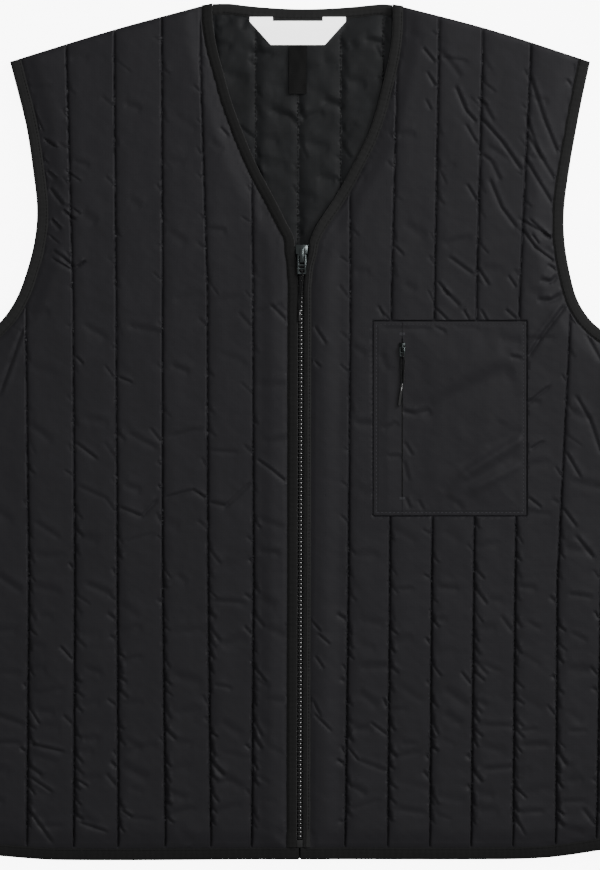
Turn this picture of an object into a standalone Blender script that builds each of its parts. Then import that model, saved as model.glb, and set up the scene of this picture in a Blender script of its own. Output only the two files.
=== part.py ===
"""A quilted liner vest lying flat, front up, with its zip closed to the V of the neck.

Lengths in the tables and functions are millimetres. X points to the wearer's left,
Y to the neck and Z up from the surface that the vest lies on.
"""

import math
from collections import namedtuple

import bmesh
import bpy
from mathutils import Matrix, Vector
from mathutils.geometry import delaunay_2d_cdt

MM = 0.001
SMOOTH_ANGLE = 40.0
DOWN = Vector((0.0, -1.0))

# Whole garment
HALF_WIDTH = 272.0
TOP_Y = 343.1
HEM_Y = -343.1
GAP = 0.3

# Quilted wall: thin at a seam, thick at the crown of a channel
SEAM_THICK = 2.2
CROWN_THICK = 5.6
SEAM_SPREAD = 14.0
FRONT_BASE = 6.0
SIDE_ROUND = 3.0
SIDE_THICK = 2.6
SIDE_BLEND = 9.0

# Knitted binding, folded round each raw edge
BIND_WALL = 0.9
BIND_NECK = 8.4
BIND_ARM = 8.0
BIND_HEM = 9.6
BIND_ZIP = 6.2
EDGE_THICK = 1.3
EDGE_INSET = BIND_WALL + GAP
BAND = BIND_HEM + 0.6
BAND_THICK = EDGE_INSET + EDGE_THICK
BIND_THICK = BAND_THICK + EDGE_INSET
BAND_RISE = 7.0

# Front zip
ZIP_TOP_X = 0.4
ZIP_HEM_X = -0.6
ZIP_TOP_Y = 145.4
ZIP_END_Y = -326.0
ZIP_LIFT = 2.2
LIFT_FLAT = 15.0
LIFT_END = 31.0
TAPE_Z = FRONT_BASE + 1.1
TAPE_THICK = 0.8
TAPE_WIDTH = 14.0
TAPE_END_Y = -338.0
CHAIN_Z = TAPE_Z + TAPE_THICK + GAP
CHAIN_HALF = 2.4
CHAIN_THICK = 2.6
FRONT_EDGE = 2.8

# Patch pocket on the wearer's left chest
POCKET_LEFT = 58.3
POCKET_RIGHT = 180.4
POCKET_TOP = 87.8
POCKET_LOW = -67.2
POCKET_SEAT = 3.0
POCKET_WALL = 1.2
POCKET_PUFF = 1.3
SLIT_X = 81.2
SLIT_TOP = 76.3
SLIT_LOW = -53.8
SLIT_HALF = 1.0
SLIT_RAISE = 0.9
POCKET_Z = FRONT_BASE + POCKET_SEAT + GAP
POCKET_CHAIN_Z = POCKET_Z + SLIT_RAISE
POCKET_CHAIN_THICK = 1.3
POCKET_CHAIN_HALF = 0.65
POCKET_TAPE_HALF = 6.0
POCKET_TAPE_THICK = 0.6

Point = namedtuple("Point", "x y")
Level = namedtuple("Level", "y right left")
Seam = namedtuple("Seam", "top chest waist hem")
Fold = namedtuple("Fold", "x0 y0 x1 y1 depth width")
Run = namedtuple("Run", "points bound cut", defaults=(None,))
Puller = namedtuple(
    "Puller", "x plate_z plate_half nose_half plate_top shoulder plate_low plate_thick"
    " crown_half crown_low crown_top slot_high bridge leg pivot_y"
    " tab_half tab_inner tab_thick windows tab_end"
)

# Half widths of the two armhole edges, from the shoulder tip to the underarm
ARMHOLE = (
    Level(295.5, 232.4, 231.6),
    Level(265.0, 224.4, 225.0),
    Level(241.0, 218.8, 220.4),
    Level(209.0, 214.0, 214.8),
    Level(177.0, 210.7, 210.8),
    Level(150.0, 213.2, 211.4),
    Level(121.0, 221.2, 216.6),
    Level(104.0, 228.4, 222.0),
    Level(89.0, 238.8, 231.8),
    Level(76.0, 253.0, 248.5),
    Level(67.0, 270.0, 270.0),
)

# Edges of the two fronts at the neck: wearer's right, then wearer's left
NECK_RIGHT = (
    Point(-70.4, 342.4), Point(-70.4, 329.0), Point(-67.1, 307.5), Point(-62.0, 288.3),
    Point(-54.0, 260.3), Point(-36.6, 216.3), Point(-20.4, 185.1), Point(-11.8, 168.0),
    Point(-5.2, 154.5), Point(-4.4, 141.0), Point(-3.3, 136.0), Point(-2.7, 126.0),
)
NECK_LEFT = (
    Point(73.6, 341.6), Point(73.8, 329.0), Point(72.2, 308.0), Point(67.4, 283.9),
    Point(56.0, 242.7), Point(40.0, 209.1), Point(26.2, 185.1), Point(13.0, 165.0),
    Point(7.6, 152.0), Point(6.4, 141.0), Point(4.9, 136.0), Point(3.5, 126.0),
)
BACK_NECK = (
    Point(73.6, 341.6), Point(66.0, 342.2), Point(34.0, 339.4), Point(0.0, 338.2),
    Point(-34.0, 340.0), Point(-63.0, 343.1), Point(-70.4, 342.4),
)
SHOULDER_MID_RIGHT = Point(-150.0, 320.8)
SHOULDER_MID_LEFT = Point(152.0, 321.0)
HEM = (
    Point(-HALF_WIDTH, -335.8), Point(-240.0, -339.6), Point(-192.0, -342.8), Point(0.0, HEM_Y),
    Point(160.0, HEM_Y), Point(200.0, -340.6), Point(240.0, -334.9), Point(HALF_WIDTH, -329.0),
)

# Where each channel seam lies, in x, at four heights
SEAM_HEIGHTS = (300.0, 115.0, -119.0, -335.0)
SEAMS_RIGHT = (
    Seam(-40.2, -38.4, -38.0, -39.6),
    Seam(-80.6, -74.8, -74.4, -72.1),
    Seam(-111.2, -110.6, -110.6, -108.4),
    Seam(-149.2, -147.8, -146.8, -146.2),
    Seam(-187.4, -182.2, -180.8, -181.8),
    Seam(-224.0, -220.2, -217.4, -219.3),
    Seam(-258.0, -256.0, -253.0, -255.0),
)
SEAMS_LEFT = (
    Seam(39.0, 39.4, 37.8, 35.1),
    Seam(77.2, 72.4, 70.8, 69.2),
    Seam(110.0, 106.8, 104.4, 102.8),
    Seam(145.0, 140.4, 138.0, 135.8),
    Seam(183.6, 174.8, 171.0, 169.2),
    Seam(222.0, 216.4, 204.7, 203.4),
    Seam(258.0, 250.4, 239.5, 235.9),
)
BACK_SEAM_STEP = 34.0
FRONT_CREST = (-9.0, -3.2, 0.0, 3.2, 9.0)
BACK_CREST = (-5.5, 0.0, 5.5)
POCKET_GRID = 34.0
BACK_SEAM_X = -2.0
BACK_SEAM_SIDE = 7
FRONT_ROW = 32.0
BACK_ROW = 60.0
LINE_STEP = 12.0

# The largest folds pressed into the fronts, and those of the pocket cloth
FRONT_FOLDS = (
    Fold(182.0, 146.0, 212.0, 186.0, 1.6, 5.0),
    Fold(124.0, 301.0, 140.0, 268.0, 1.4, 5.0),
    Fold(183.0, 283.0, 203.0, 222.0, 1.2, 5.0),
    Fold(151.0, 287.0, 174.0, 196.0, 1.2, 5.0),
    Fold(175.0, 249.0, 203.0, 222.0, 1.4, 4.0),
    Fold(176.0, 172.0, 200.0, 154.0, 1.2, 4.0),
    Fold(182.0, 60.0, 211.0, 101.0, 1.8, 5.0),
    Fold(-200.0, 194.0, -189.0, 181.0, 1.6, 4.0),
    Fold(-198.0, 230.0, -181.0, 217.0, 1.4, 4.0),
    Fold(-217.0, 86.0, -246.0, 60.0, 1.6, 4.0),
    Fold(-34.0, 63.0, -12.0, 45.0, 1.0, 4.0),
)
POCKET_FOLDS = (
    Fold(130.0, -37.3, 174.0, -6.1, -2.2, 9.0),
    Fold(98.8, 15.5, 152.4, 41.1, 0.9, 10.0),
)

# Woven labels inside the back neck, both blank
LABEL_TOP = 328.8
LABEL_LOW = 309.2
LABEL_TOP_HALF = 38.4
LABEL_LOW_HALF = 21.6
LABEL_LEG = 18.4
LABEL_NOTCH = 3.0
LABEL_THICK = 0.6
LABEL_LEAD = 3.0
LABEL_STEP = 7.0
LABEL_X = -2.2
TAG_HALF = 7.0
TAG_LOW = 269.9

MAIN_PULLER = Puller(
    x=1.0, plate_z=11.1, plate_half=4.8, nose_half=3.4, plate_top=149.0, shoulder=141.6,
    plate_low=134.6, plate_thick=1.2, crown_half=1.5, crown_low=134.9, crown_top=146.0,
    slot_high=2.2, bridge=1.1, leg=1.2, pivot_y=140.4, tab_half=3.7, tab_inner=2.1,
    tab_thick=1.1, windows=((0.55, 6.9), (8.2, 9.9), (11.1, 13.6)), tab_end=14.9,
)
POCKET_PULLER = Puller(
    x=SLIT_X, plate_z=11.8, plate_half=2.4, nose_half=2.0, plate_top=70.8, shoulder=67.0,
    plate_low=62.8, plate_thick=1.0, crown_half=0.8, crown_low=64.0, crown_top=69.4,
    slot_high=1.7, bridge=0.8, leg=1.0, pivot_y=66.7, tab_half=2.2, tab_inner=1.3,
    tab_thick=0.8, windows=((0.4, 3.7), (4.4, 6.3)), tab_end=7.1,
)
MAIN_TUBE = ((-0.5, 97.0, 12.25), (-0.6, 88.0, 12.25))
MAIN_TUBE_RADIUS = 1.1
POCKET_TUBE = ((81.2, 38.2, 13.2), (78.8, 20.4, 13.2))
POCKET_TUBE_RADIUS = 1.25
CORD_THICK = 1.2
# Each cord runs from its tube end up, round the last bar of the pull tab, and back
MAIN_CORD = (
    (0.1, 97.4, 12.3), (0.3, 104.0, 12.5), (0.7, 112.0, 12.9), (1.3, 119.0, 13.8),
    (1.6, 123.0, 14.8), (1.5, 125.8, 15.1), (1.2, 127.5, 14.9), (0.9, 128.1, 13.9),
    (0.8, 128.1, 13.0), (0.6, 127.6, 12.1), (0.2, 125.6, 11.8), (-0.7, 116.0, 11.8),
    (-1.1, 105.0, 12.0), (-1.2, 97.4, 12.2),
)
POCKET_CORD = (
    (82.0, 38.6, 13.3), (82.2, 44.0, 13.4), (82.5, 50.0, 13.7), (82.9, 56.0, 14.6),
    (82.4, 58.6, 15.1), (82.0, 60.2, 15.1), (81.6, 61.3, 14.7), (81.3, 61.5, 13.9),
    (81.1, 61.5, 13.3), (80.8, 61.2, 12.5), (80.3, 60.0, 12.3), (79.7, 56.0, 12.3),
    (80.2, 46.0, 12.6), (80.5, 38.6, 13.0),
)


def srgb(red, green, blue):
    """A linear colour from 0 to 255 screen values."""
    def linear(value):
        value = value / 255
        return value / 12.92 if value <= 0.04045 else ((value + 0.055) / 1.055) ** 2.4
    return linear(red), linear(green), linear(blue), 1.0


# Colour, roughness and metallic value of each finish
FINISHES = {
    "shell nylon": (srgb(38, 38, 41), 0.55, 0.0),
    "lining nylon": (srgb(36, 38, 41), 0.50, 0.0),
    "knit binding": (srgb(32, 33, 32), 0.90, 0.0),
    "zip tape": (srgb(24, 24, 25), 0.90, 0.0),
    "zip teeth": (srgb(28, 28, 29), 0.35, 0.0),
    "gunmetal": (srgb(72, 72, 74), 0.30, 1.0),
    "braided cord": (srgb(20, 20, 21), 0.80, 0.0),
    "glossy end": (srgb(18, 18, 18), 0.15, 0.0),
    "white satin": (srgb(236, 236, 234), 0.60, 0.0),
    "black satin": (srgb(20, 20, 21), 0.60, 0.0),
}


def collection(name):
    made = bpy.data.collections.new(name)
    bpy.context.scene.collection.children.link(made)
    return made


def add_finish(thing, finish):
    """Give the object a Principled material of its own, in the named finish."""
    colour, roughness, metallic = FINISHES[finish]
    material = bpy.data.materials.new(f"{thing.name} {finish}")
    material.use_nodes = True
    shader = material.node_tree.nodes["Principled BSDF"]
    shader.inputs["Base Color"].default_value = colour
    shader.inputs["Roughness"].default_value = roughness
    shader.inputs["Metallic"].default_value = metallic
    thing.data.materials.append(material)


def clamp(value):
    return min(1.0, max(0.0, value))


def ease(value):
    """A soft step from 0 to 1."""
    value = clamp(value)
    return value * value * (3 - 2 * value)


def mix(low, high, share):
    return low + (high - low) * share


def smooth_line(points, step):
    """A smooth line through the points, with a point about every step."""
    knots = [Vector(p) for p in points]
    spans = [(b - a).length for a, b in zip(knots, knots[1:])]
    slopes = []
    for i in range(len(knots)):
        low, high = max(i - 1, 0), min(i + 1, len(knots) - 1)
        slopes.append((knots[high] - knots[low]) / sum(spans[low:high]))
    line = [knots[0]]
    for i, span in enumerate(spans):
        count = max(1, math.ceil(span / step))
        for k in range(1, count + 1):
            t = k / count
            start = knots[i] * (2 * t**3 - 3 * t**2 + 1) + slopes[i] * span * (t**3 - 2 * t**2 + t)
            end = knots[i + 1] * (3 * t**2 - 2 * t**3) + slopes[i + 1] * span * (t**3 - t**2)
            line.append(start + end)
    return line


def sewn_line(points):
    """A seam edge between two corners, with closer points near each corner."""
    fine = smooth_line(points, 4.0)
    close = 8
    return fine[:close] + by_rows(fine[close:-close], 2 * LINE_STEP, FRONT_ROW) + fine[-close:]


def left_of(a, b):
    """The unit vector to the left of the way from a to b."""
    way = (b - a).normalized()
    return Vector((-way.y, way.x))


def inset(line, gap, start=None, end=None):
    """The line moved to its left. start and end are the ways that its ends are cut."""
    moved = []
    last = len(line) - 1
    for i, point in enumerate(line):
        before = left_of(line[max(i - 1, 0)], line[max(i, 1)])
        after = left_of(line[min(i, last - 1)], line[min(i + 1, last)])
        move = (before + after) / (1 + before.dot(after))
        if i == 0 and start is not None:
            move = start / after.dot(start)
        if i == last and end is not None:
            move = end / before.dot(end)
        moved.append(point + move * gap)
    return moved


def distance(lines, x, y):
    """How far a point is from the nearest of some lines."""
    best = 1e9
    for line in lines:
        for a, b in zip(line, line[1:]):
            along_x, along_y = b.x - a.x, b.y - a.y
            size = along_x * along_x + along_y * along_y
            t = clamp(((x - a.x) * along_x + (y - a.y) * along_y) / size) if size else 0.0
            off_x, off_y = x - a.x - t * along_x, y - a.y - t * along_y
            best = min(best, off_x * off_x + off_y * off_y)
    return math.sqrt(best)


def inside(outline, x, y):
    found = False
    for a, b in zip(outline, outline[1:] + outline[:1]):
        if (a.y > y) != (b.y > y) and x < a.x + (y - a.y) * (b.x - a.x) / (b.y - a.y):
            found = not found
    return found


def zip_x(y):
    """The middle of the front zip at a height."""
    share = clamp((ZIP_TOP_Y - y) / (ZIP_TOP_Y - ZIP_END_Y))
    return mix(ZIP_TOP_X, ZIP_HEM_X, share)


def seam_x(seam, y):
    heights = SEAM_HEIGHTS
    for i in range(3):
        if y >= heights[i + 1] or i == 2:
            share = (heights[i] - y) / (heights[i] - heights[i + 1])
            return mix(seam[i], seam[i + 1], share)


def quilt(seams, x, y):
    """0 on a channel seam and 1 on the crown of a channel."""
    near = min(abs(x - seam_x(seam, y)) for seam in seams)
    return 1 - (1 - clamp(near / SEAM_SPREAD)) ** 2.2


def fold_depth(folds, x, y):
    """How far the folds press a point down. A ridge has a negative depth."""
    total = 0.0
    for fold in folds:
        way = Vector((fold.x1 - fold.x0, fold.y1 - fold.y0))
        length = way.length
        way.normalize()
        from_x, from_y = x - fold.x0, y - fold.y0
        along = (from_x * way.x + from_y * way.y) / length
        across = (from_y * way.x - from_x * way.y) / fold.width
        if -0.3 < along < 1.3 and abs(across) < 3:
            total += fold.depth * math.exp(-across * across) * ease(1.3 - abs(2 * along - 1))
    return total


def front_base(x, y):
    """The underside of the fronts, which lifts over the zip tape."""
    off = abs(x - zip_x(y))
    return FRONT_BASE + ZIP_LIFT * clamp((LIFT_END - off) / (LIFT_END - LIFT_FLAT))


def back_base(_x, _y):
    return 0.0


def pocket_press(x, y):
    """1 where the pocket holds the quilting flat, and 0 away from it."""
    off_x = max(POCKET_LEFT - x, x - POCKET_RIGHT, 0.0)
    off_y = max(POCKET_LOW - y, y - POCKET_TOP, 0.0)
    return 1 - ease((math.hypot(off_x, off_y) - 2.0) / 6.0)


class Panel:
    """One quilted wall of the garment: its edges, its seams and its two faces."""

    def __init__(self, runs, seams, base, is_front):
        self.seams, self.base, self.is_front = seams, base, is_front
        self.bound = [run.points for run in runs if run.bound]
        self.sewn = [run.points for run in runs if not run.bound]
        self.runs = runs
        self.bands = [self.inset_run(index, BAND) for index, run in enumerate(runs) if run.bound]
        self.outline = self.cut_outline()

    def cuts(self, index):
        """The ways that a bound run's ends are cut: along the seam edges beside it, or its own."""
        own = self.runs[index].cut
        if own is not None:
            return own, own
        before = self.runs[index - 1].points
        after = self.runs[(index + 1) % len(self.runs)].points
        return (before[-2] - before[-1]).normalized(), (after[1] - after[0]).normalized()

    def inset_run(self, index, gap):
        return inset(self.runs[index].points, gap, *self.cuts(index))

    def cut_outline(self):
        """The wall's own outline, with a point on each sewn edge where a bound band ends."""
        outline = []
        for index, run in enumerate(self.runs):
            if run.bound:
                outline += self.inset_run(index, EDGE_INSET)
                continue
            corner = run.points[0]
            after = (index + 1) % len(self.runs)
            marks = [self.inset_run(i, BAND)[end] for i, end in ((index - 1, -1), (after, 0))
                     if self.runs[i].cut is None]
            plain = [p for p in run.points[1:-1] if min((p - mark).length for mark in marks) > 2.0]
            outline += sorted(plain + marks, key=lambda p: (p - corner).length)
        return outline

    def top(self, x, y):
        edge, side = distance(self.bound, x, y), distance(self.sewn, x, y)
        full = mix(SEAM_THICK, CROWN_THICK, quilt(self.seams, x, y))
        if self.is_front:
            full -= fold_depth(FRONT_FOLDS, x, y) * clamp((full - SEAM_THICK) / 1.5)
            full = mix(SIDE_THICK, full, ease(side / SIDE_BLEND))
        else:
            full = mix(CROWN_THICK - 0.1, full, ease(side / SIDE_BLEND))
        full = mix(BAND_THICK, full, ease((edge - BAND) / BAND_RISE))
        if self.is_front and x > 0:
            full = mix(full, POCKET_SEAT, pocket_press(x, y))
        return self.base(x, y) + full

    def bottom(self, x, y):
        edge = distance(self.bound, x, y)
        raised = EDGE_INSET * (1 - clamp((edge - BAND) / 4.0))
        if not self.is_front:
            side = distance(self.sewn, x, y)
            raised += SIDE_ROUND * (1 - ease(side / 10.0)) * ease((edge - BAND - 2.0) / BAND_RISE)
        return self.base(x, y) + raised

    def rings(self, gaps, sewn_gaps, step, row_step):
        """Rows of points that follow the edges, a gap inside them."""
        found = []
        for index, run in enumerate(self.runs):
            for gap in gaps if run.bound else ():
                found += by_rows(self.inset_run(index, gap), step, row_step)
            for gap in () if run.bound else sewn_gaps:
                found += by_rows(inset(run.points, gap), step, row_step)
        return [p for p in found if inside(self.outline, p.x, p.y)
                and distance([self.outline + self.outline[:1]], p.x, p.y) > 1.5]


def by_rows(line, step, row_step):
    """Points of a line: on each row of the channels where it is steep, else a step apart."""
    found, since = [], step
    for a, b in zip(line, line[1:]):
        if abs(b.y - a.y) > 1.5 * abs(b.x - a.x):
            low, high = sorted((a.y, b.y))
            row = math.ceil((low - HEM_Y) / row_step)
            while HEM_Y + row * row_step <= high:
                found.append(a.lerp(b, (HEM_Y + row * row_step - a.y) / (b.y - a.y)))
                row += 1
        else:
            since += (b - a).length
            if since >= step:
                found.append(b)
                since = 0.0
    return found


def spread(points, closest):
    """The points in order, without those too near one kept before."""
    kept, cells = [], {}
    for point in points:
        cell = (math.floor(point.x / closest), math.floor(point.y / closest))
        near = [q for dx in (-1, 0, 1) for dy in (-1, 0, 1)
                for q in cells.get((cell[0] + dx, cell[1] + dy), ())]
        if all((point - q).length >= closest for q in near):
            kept.append(point)
            cells.setdefault(cell, []).append(point)
    return kept


def triangulate(outline, points, lines):
    """Triangles inside an outline, through the points and with edges along the lines."""
    count = len(outline)
    places = list(outline)
    edges = [(i, (i + 1) % count) for i in range(count)]
    for line in lines:
        numbers = []
        for point in line:
            near = [i for i in range(count) if (outline[i] - point).length < 1e-3]
            if not near:
                places.append(point)
            numbers.append(near[0] if near else len(places) - 1)
        edges += list(zip(numbers, numbers[1:]))
    taken = places[count:]
    free = [p for p in points if not taken or min((p - q).length for q in taken) > 2.0]
    found = delaunay_2d_cdt(places + free, edges, [list(range(count))], 1, 1e-6)
    places, faces = found[0], found[2]
    faces = [list(face) for face in faces]
    for face in faces:
        a, b, c = (places[i] for i in face)
        if (b - a).cross(c - a) < 0:
            face.reverse()
    return places, faces


def new_object(name, mesh, home, finish=None):
    thing = bpy.data.objects.new(name, mesh)
    home.objects.link(thing)
    if finish:
        add_finish(thing, finish)
    return thing


def finish_mesh(name, maker, home, finish):
    """An object from a bmesh in millimetres, with round faces shaded smooth."""
    bmesh.ops.scale(maker, vec=(MM, MM, MM), verts=maker.verts)
    mesh = bpy.data.meshes.new(name)
    maker.to_mesh(mesh)
    maker.free()
    mesh.shade_smooth()
    mesh.set_sharp_from_angle(angle=math.radians(SMOOTH_ANGLE))
    return new_object(name, mesh, home, finish)


def wall(name, outline, top_points, low_points, top, bottom, home, finish, lines, top_lines, low_lines):
    """A closed cloth wall between a lower and an upper surface over one outline."""
    maker = bmesh.new()
    sides = []
    faces_of = ((top_points, lines + top_lines, top, True),
                (low_points, lines + low_lines, bottom, False))
    for points, kept, height, up in faces_of:
        places, faces = triangulate(outline, points, kept)
        verts = [maker.verts.new((p.x, p.y, height(p.x, p.y))) for p in places]
        for face in faces:
            corners = [verts[i] for i in face]
            maker.faces.new(corners if up else corners[::-1])
        sides.append(verts[: len(outline)])
    upper, lower = sides
    for i in range(len(outline)):
        j = (i + 1) % len(outline)
        maker.faces.new((lower[i], lower[j], upper[j], upper[i]))
    return finish_mesh(name, maker, home, finish)


def sweep(name, rings, home, finish):
    """A closed solid through rings of equal point counts, capped at both ends."""
    maker = bmesh.new()
    loops = [[maker.verts.new(p) for p in ring] for ring in rings]
    for near, far in zip(loops, loops[1:]):
        for k in range(len(near)):
            m = (k + 1) % len(near)
            maker.faces.new((near[k], near[m], far[m], far[k]))
    maker.faces.new(loops[0][::-1])
    maker.faces.new(loops[-1])
    bmesh.ops.recalc_face_normals(maker, faces=maker.faces)
    return finish_mesh(name, maker, home, finish)


def binding(name, line, width, base, home, start=None, end=None):
    """A strip of knit folded over an edge: two flaps and the fold between them."""
    inner = inset(line, 1.0, start, end)
    rings = []
    for edge, step in zip(line, inner):
        way = step - edge
        wide = width(edge.y)
        section = (
            (0.6, 0.0), (wide, 0.0), (wide, BIND_WALL), (BIND_WALL, BIND_WALL),
            (BIND_WALL, BIND_THICK - BIND_WALL), (wide, BIND_THICK - BIND_WALL),
            (wide, BIND_THICK - 0.25), (wide - 0.8, BIND_THICK), (0.7, BIND_THICK),
            (0.0, BIND_THICK / 2),
        )
        places = [(edge + way * off, height) for off, height in section]
        rings.append([(p.x, p.y, base(p.x, p.y) + height) for p, height in places])
    return sweep(name, rings, home, "knit binding")


def armhole_line(side):
    """An armhole edge from the shoulder tip down. side is -1 on the wearer's right."""
    return [Vector((-level.right if side < 0 else level.left, level.y)) for level in ARMHOLE]


def front_edge(side):
    """A front's free edge, from the neck corner down the V and the zip to the hem."""
    neck = NECK_RIGHT if side < 0 else NECK_LEFT
    line = smooth_line([Vector(p) for p in neck], 9.0)
    for y in (100.0, 60.0, 0.0, -80.0, -160.0, -240.0, -300.0):
        line.append(Vector((zip_x(y) + side * FRONT_EDGE, y)))
    line.append(Vector((zip_x(HEM_Y) + side * FRONT_EDGE, HEM_Y)))
    return line


def hem_line(low_x, high_x):
    """The hem between two x values, from the wearer's right to left."""
    whole = smooth_line([Vector(p) for p in HEM], 22.0)
    middle = zip_x(HEM_Y)
    lifts = [middle + side * off for side in (-1, 1) for off in (LIFT_FLAT, LIFT_END)]

    def at(x):
        for a, b in zip(whole, whole[1:]):
            if a.x <= x <= b.x:
                return Vector((x, mix(a.y, b.y, (x - a.x) / (b.x - a.x))))
        return whole[0] if x < 0 else whole[-1]
    places = sorted(lifts + [p.x for p in whole if min(abs(p.x - x) for x in lifts) > 4.0])
    return [at(x) for x in [low_x] + [x for x in places if low_x + 2 < x < high_x - 2] + [high_x]]


def side_line(side):
    """A side seam, from the underarm to the hem corner."""
    under = armhole_line(side)[-1]
    corner = Vector(HEM[0] if side < 0 else HEM[-1])
    return sewn_line([under, corner])


def shoulder_line(side):
    """A shoulder seam, from the neck corner to the tip."""
    neck = NECK_RIGHT[0] if side < 0 else NECK_LEFT[0]
    middle = SHOULDER_MID_RIGHT if side < 0 else SHOULDER_MID_LEFT
    return sewn_line([Vector(neck), Vector(middle), armhole_line(side)[0]])


def front_panel(side):
    """The wall of one front, with its edges in the order that keeps the cloth on the left."""
    edge = front_edge(side)
    armhole = smooth_line(armhole_line(side), LINE_STEP)
    if side < 0:
        hem = hem_line(-HALF_WIDTH, edge[-1].x)
        runs = (
            Run(hem[:-1] + edge[::-1], True), Run(shoulder_line(side), False),
            Run(armhole, True), Run(side_line(side), False),
        )
        return Panel(runs, SEAMS_RIGHT, front_base, True)
    hem = hem_line(edge[-1].x, HALF_WIDTH)
    runs = (
        Run(edge + hem[1:], True), Run(side_line(side)[::-1], False),
        Run(armhole[::-1], True), Run(shoulder_line(side)[::-1], False),
    )
    return Panel(runs, SEAMS_LEFT, front_base, True)


def back_panel():
    """The wall of the back, whose seams are evenly spaced."""
    seams = [Seam(*[BACK_SEAM_X + BACK_SEAM_STEP * k] * 4)
             for k in range(-BACK_SEAM_SIDE, BACK_SEAM_SIDE + 1)]
    runs = (
        Run(hem_line(-HALF_WIDTH, HALF_WIDTH), True),
        Run(side_line(1)[::-1], False),
        Run(smooth_line(armhole_line(1), LINE_STEP)[::-1], True),
        Run(shoulder_line(1)[::-1], False),
        Run(smooth_line([Vector(p) for p in BACK_NECK], LINE_STEP), True, DOWN),
        Run(shoulder_line(-1), False),
        Run(smooth_line(armhole_line(-1), LINE_STEP), True),
        Run(side_line(-1), False),
    )
    return Panel(runs, seams, back_base, False)


def channel_points(panel, row_step, offsets):
    """Rows of points across the channels: on each seam, beside it and on the crown."""
    found = []
    rows = math.floor((TOP_Y - HEM_Y) / row_step)
    for row in range(1, rows + 1):
        y = HEM_Y + row * row_step
        lines = sorted(seam_x(seam, y) for seam in panel.seams)
        columns = [line + offset for line in lines for offset in offsets]
        columns += [(a + b) / 2 for a, b in zip(lines, lines[1:])]
        columns += [lines[0] - 17.0, lines[-1] + 17.0]
        found += [Vector((x, y)) for x in columns]
    return [p for p in found if usable(panel, p, BAND + BAND_RISE + 2.0, 12.0)]


def channel_lines(panel, row_step, offsets):
    """The lines along each seam, and close beside it, that hold the sides of the channels."""
    lines = []
    rows = math.floor((TOP_Y - HEM_Y) / row_step)
    for seam in panel.seams:
        for offset in offsets:
            line = []
            for row in range(1, rows + 2):
                y = HEM_Y + row * row_step
                point = Vector((seam_x(seam, y) + offset, y))
                if row <= rows and usable(panel, point, BAND + BAND_RISE + 2.0, 12.0):
                    line.append(point)
                    continue
                if len(line) > 1:
                    lines.append(line)
                line = []
    return lines


def usable(panel, point, from_bound, from_sewn):
    pressed = panel.seams is SEAMS_LEFT and pocket_press(point.x, point.y) > 0.001
    return (
        not pressed and inside(panel.outline, point.x, point.y)
        and distance(panel.bound, point.x, point.y) > from_bound
        and distance(panel.sewn, point.x, point.y) > from_sewn
    )


def fold_points(panel):
    """Points along the folds and on both sides of them."""
    found = []
    for fold in FRONT_FOLDS:
        start, end = Vector((fold.x0, fold.y0)), Vector((fold.x1, fold.y1))
        across = left_of(start, end)
        for share in (0.0, 0.33, 0.67, 1.0):
            for off in (-2.0, -0.9, 0.0, 0.9, 2.0):
                found.append(start.lerp(end, share) + across * off * fold.width)
    return [p for p in found if usable(panel, p, BAND + BAND_RISE, 12.0)]


def pocket_corners(out):
    low_x, high_x = POCKET_LEFT - out, POCKET_RIGHT + out
    low_y, high_y = POCKET_LOW - out, POCKET_TOP + out
    return [Vector(c) for c in ((low_x, low_y), (high_x, low_y), (high_x, high_y), (low_x, high_y))]


def pocket_frame(out, step, row_step):
    """Points on a rectangle that lies out from the pocket's edge."""
    corners = pocket_corners(out)
    found = list(corners)
    for a, b in zip(corners, corners[1:] + corners[:1]):
        count = math.ceil((b - a).length / step)
        side = [a.lerp(b, k / count) for k in range(count + 1)]
        found += side if a.y == b.y else by_rows(side, step, row_step)
    return found


def grid(low_x, high_x, low_y, high_y, step_x, step_y):
    columns = math.ceil((high_x - low_x) / step_x)
    rows = math.ceil((high_y - low_y) / step_y)
    return [Vector((mix(low_x, high_x, i / columns), mix(low_y, high_y, j / rows)))
            for j in range(rows + 1) for i in range(columns + 1)]


def underside_points(panel):
    """Sparse points for the plain inside of a wall, closer where it lifts over the zip."""
    found = panel.rings((BAND + 4.0,), (10.0,) if not panel.is_front else (), 14.0, 30.0)
    found += grid(-240.0, 240.0, -300.0, 300.0, 80.0, 75.0)
    return [p for p in spread(found, 3.0) if inside(panel.outline, p.x, p.y)
            and distance([panel.outline + panel.outline[:1]], p.x, p.y) > 1.5]


def lift_lines(panel):
    """Lines on a front's underside where its lift over the zip starts and ends."""
    side = 1 if panel.seams is SEAMS_LEFT else -1
    heights = [y for y in range(-320, 130, 40)]
    return [[Vector((zip_x(y) + side * off, y)) for y in heights] for off in (LIFT_FLAT, LIFT_END)]


def build_panel(name, panel, row_step, offsets, home, finish):
    points = panel.rings((BAND + 3.5, BAND + BAND_RISE), (5.0, 10.0), 14.0, row_step)
    seams = channel_lines(panel, row_step, offsets[1:-1] if panel.is_front else (0.0,))
    if panel.seams is SEAMS_LEFT:
        for out in (5.0, 8.5):
            points += pocket_frame(out, 12.0, row_step)
        seams.append(pocket_corners(2.0) + pocket_corners(2.0)[:1])
        points += grid(POCKET_LEFT + 12, POCKET_RIGHT - 12, POCKET_LOW + 12, POCKET_TOP - 12, POCKET_GRID,
                       POCKET_GRID)
    if panel.is_front:
        points += fold_points(panel)
    points += channel_points(panel, row_step, offsets)
    return wall(name, panel.outline, spread(points, 2.6), underside_points(panel),
                panel.top, panel.bottom, home, finish, panel.bands, seams,
                lift_lines(panel) if panel.is_front else [])


def constant(value):
    return lambda _y: value


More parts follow.
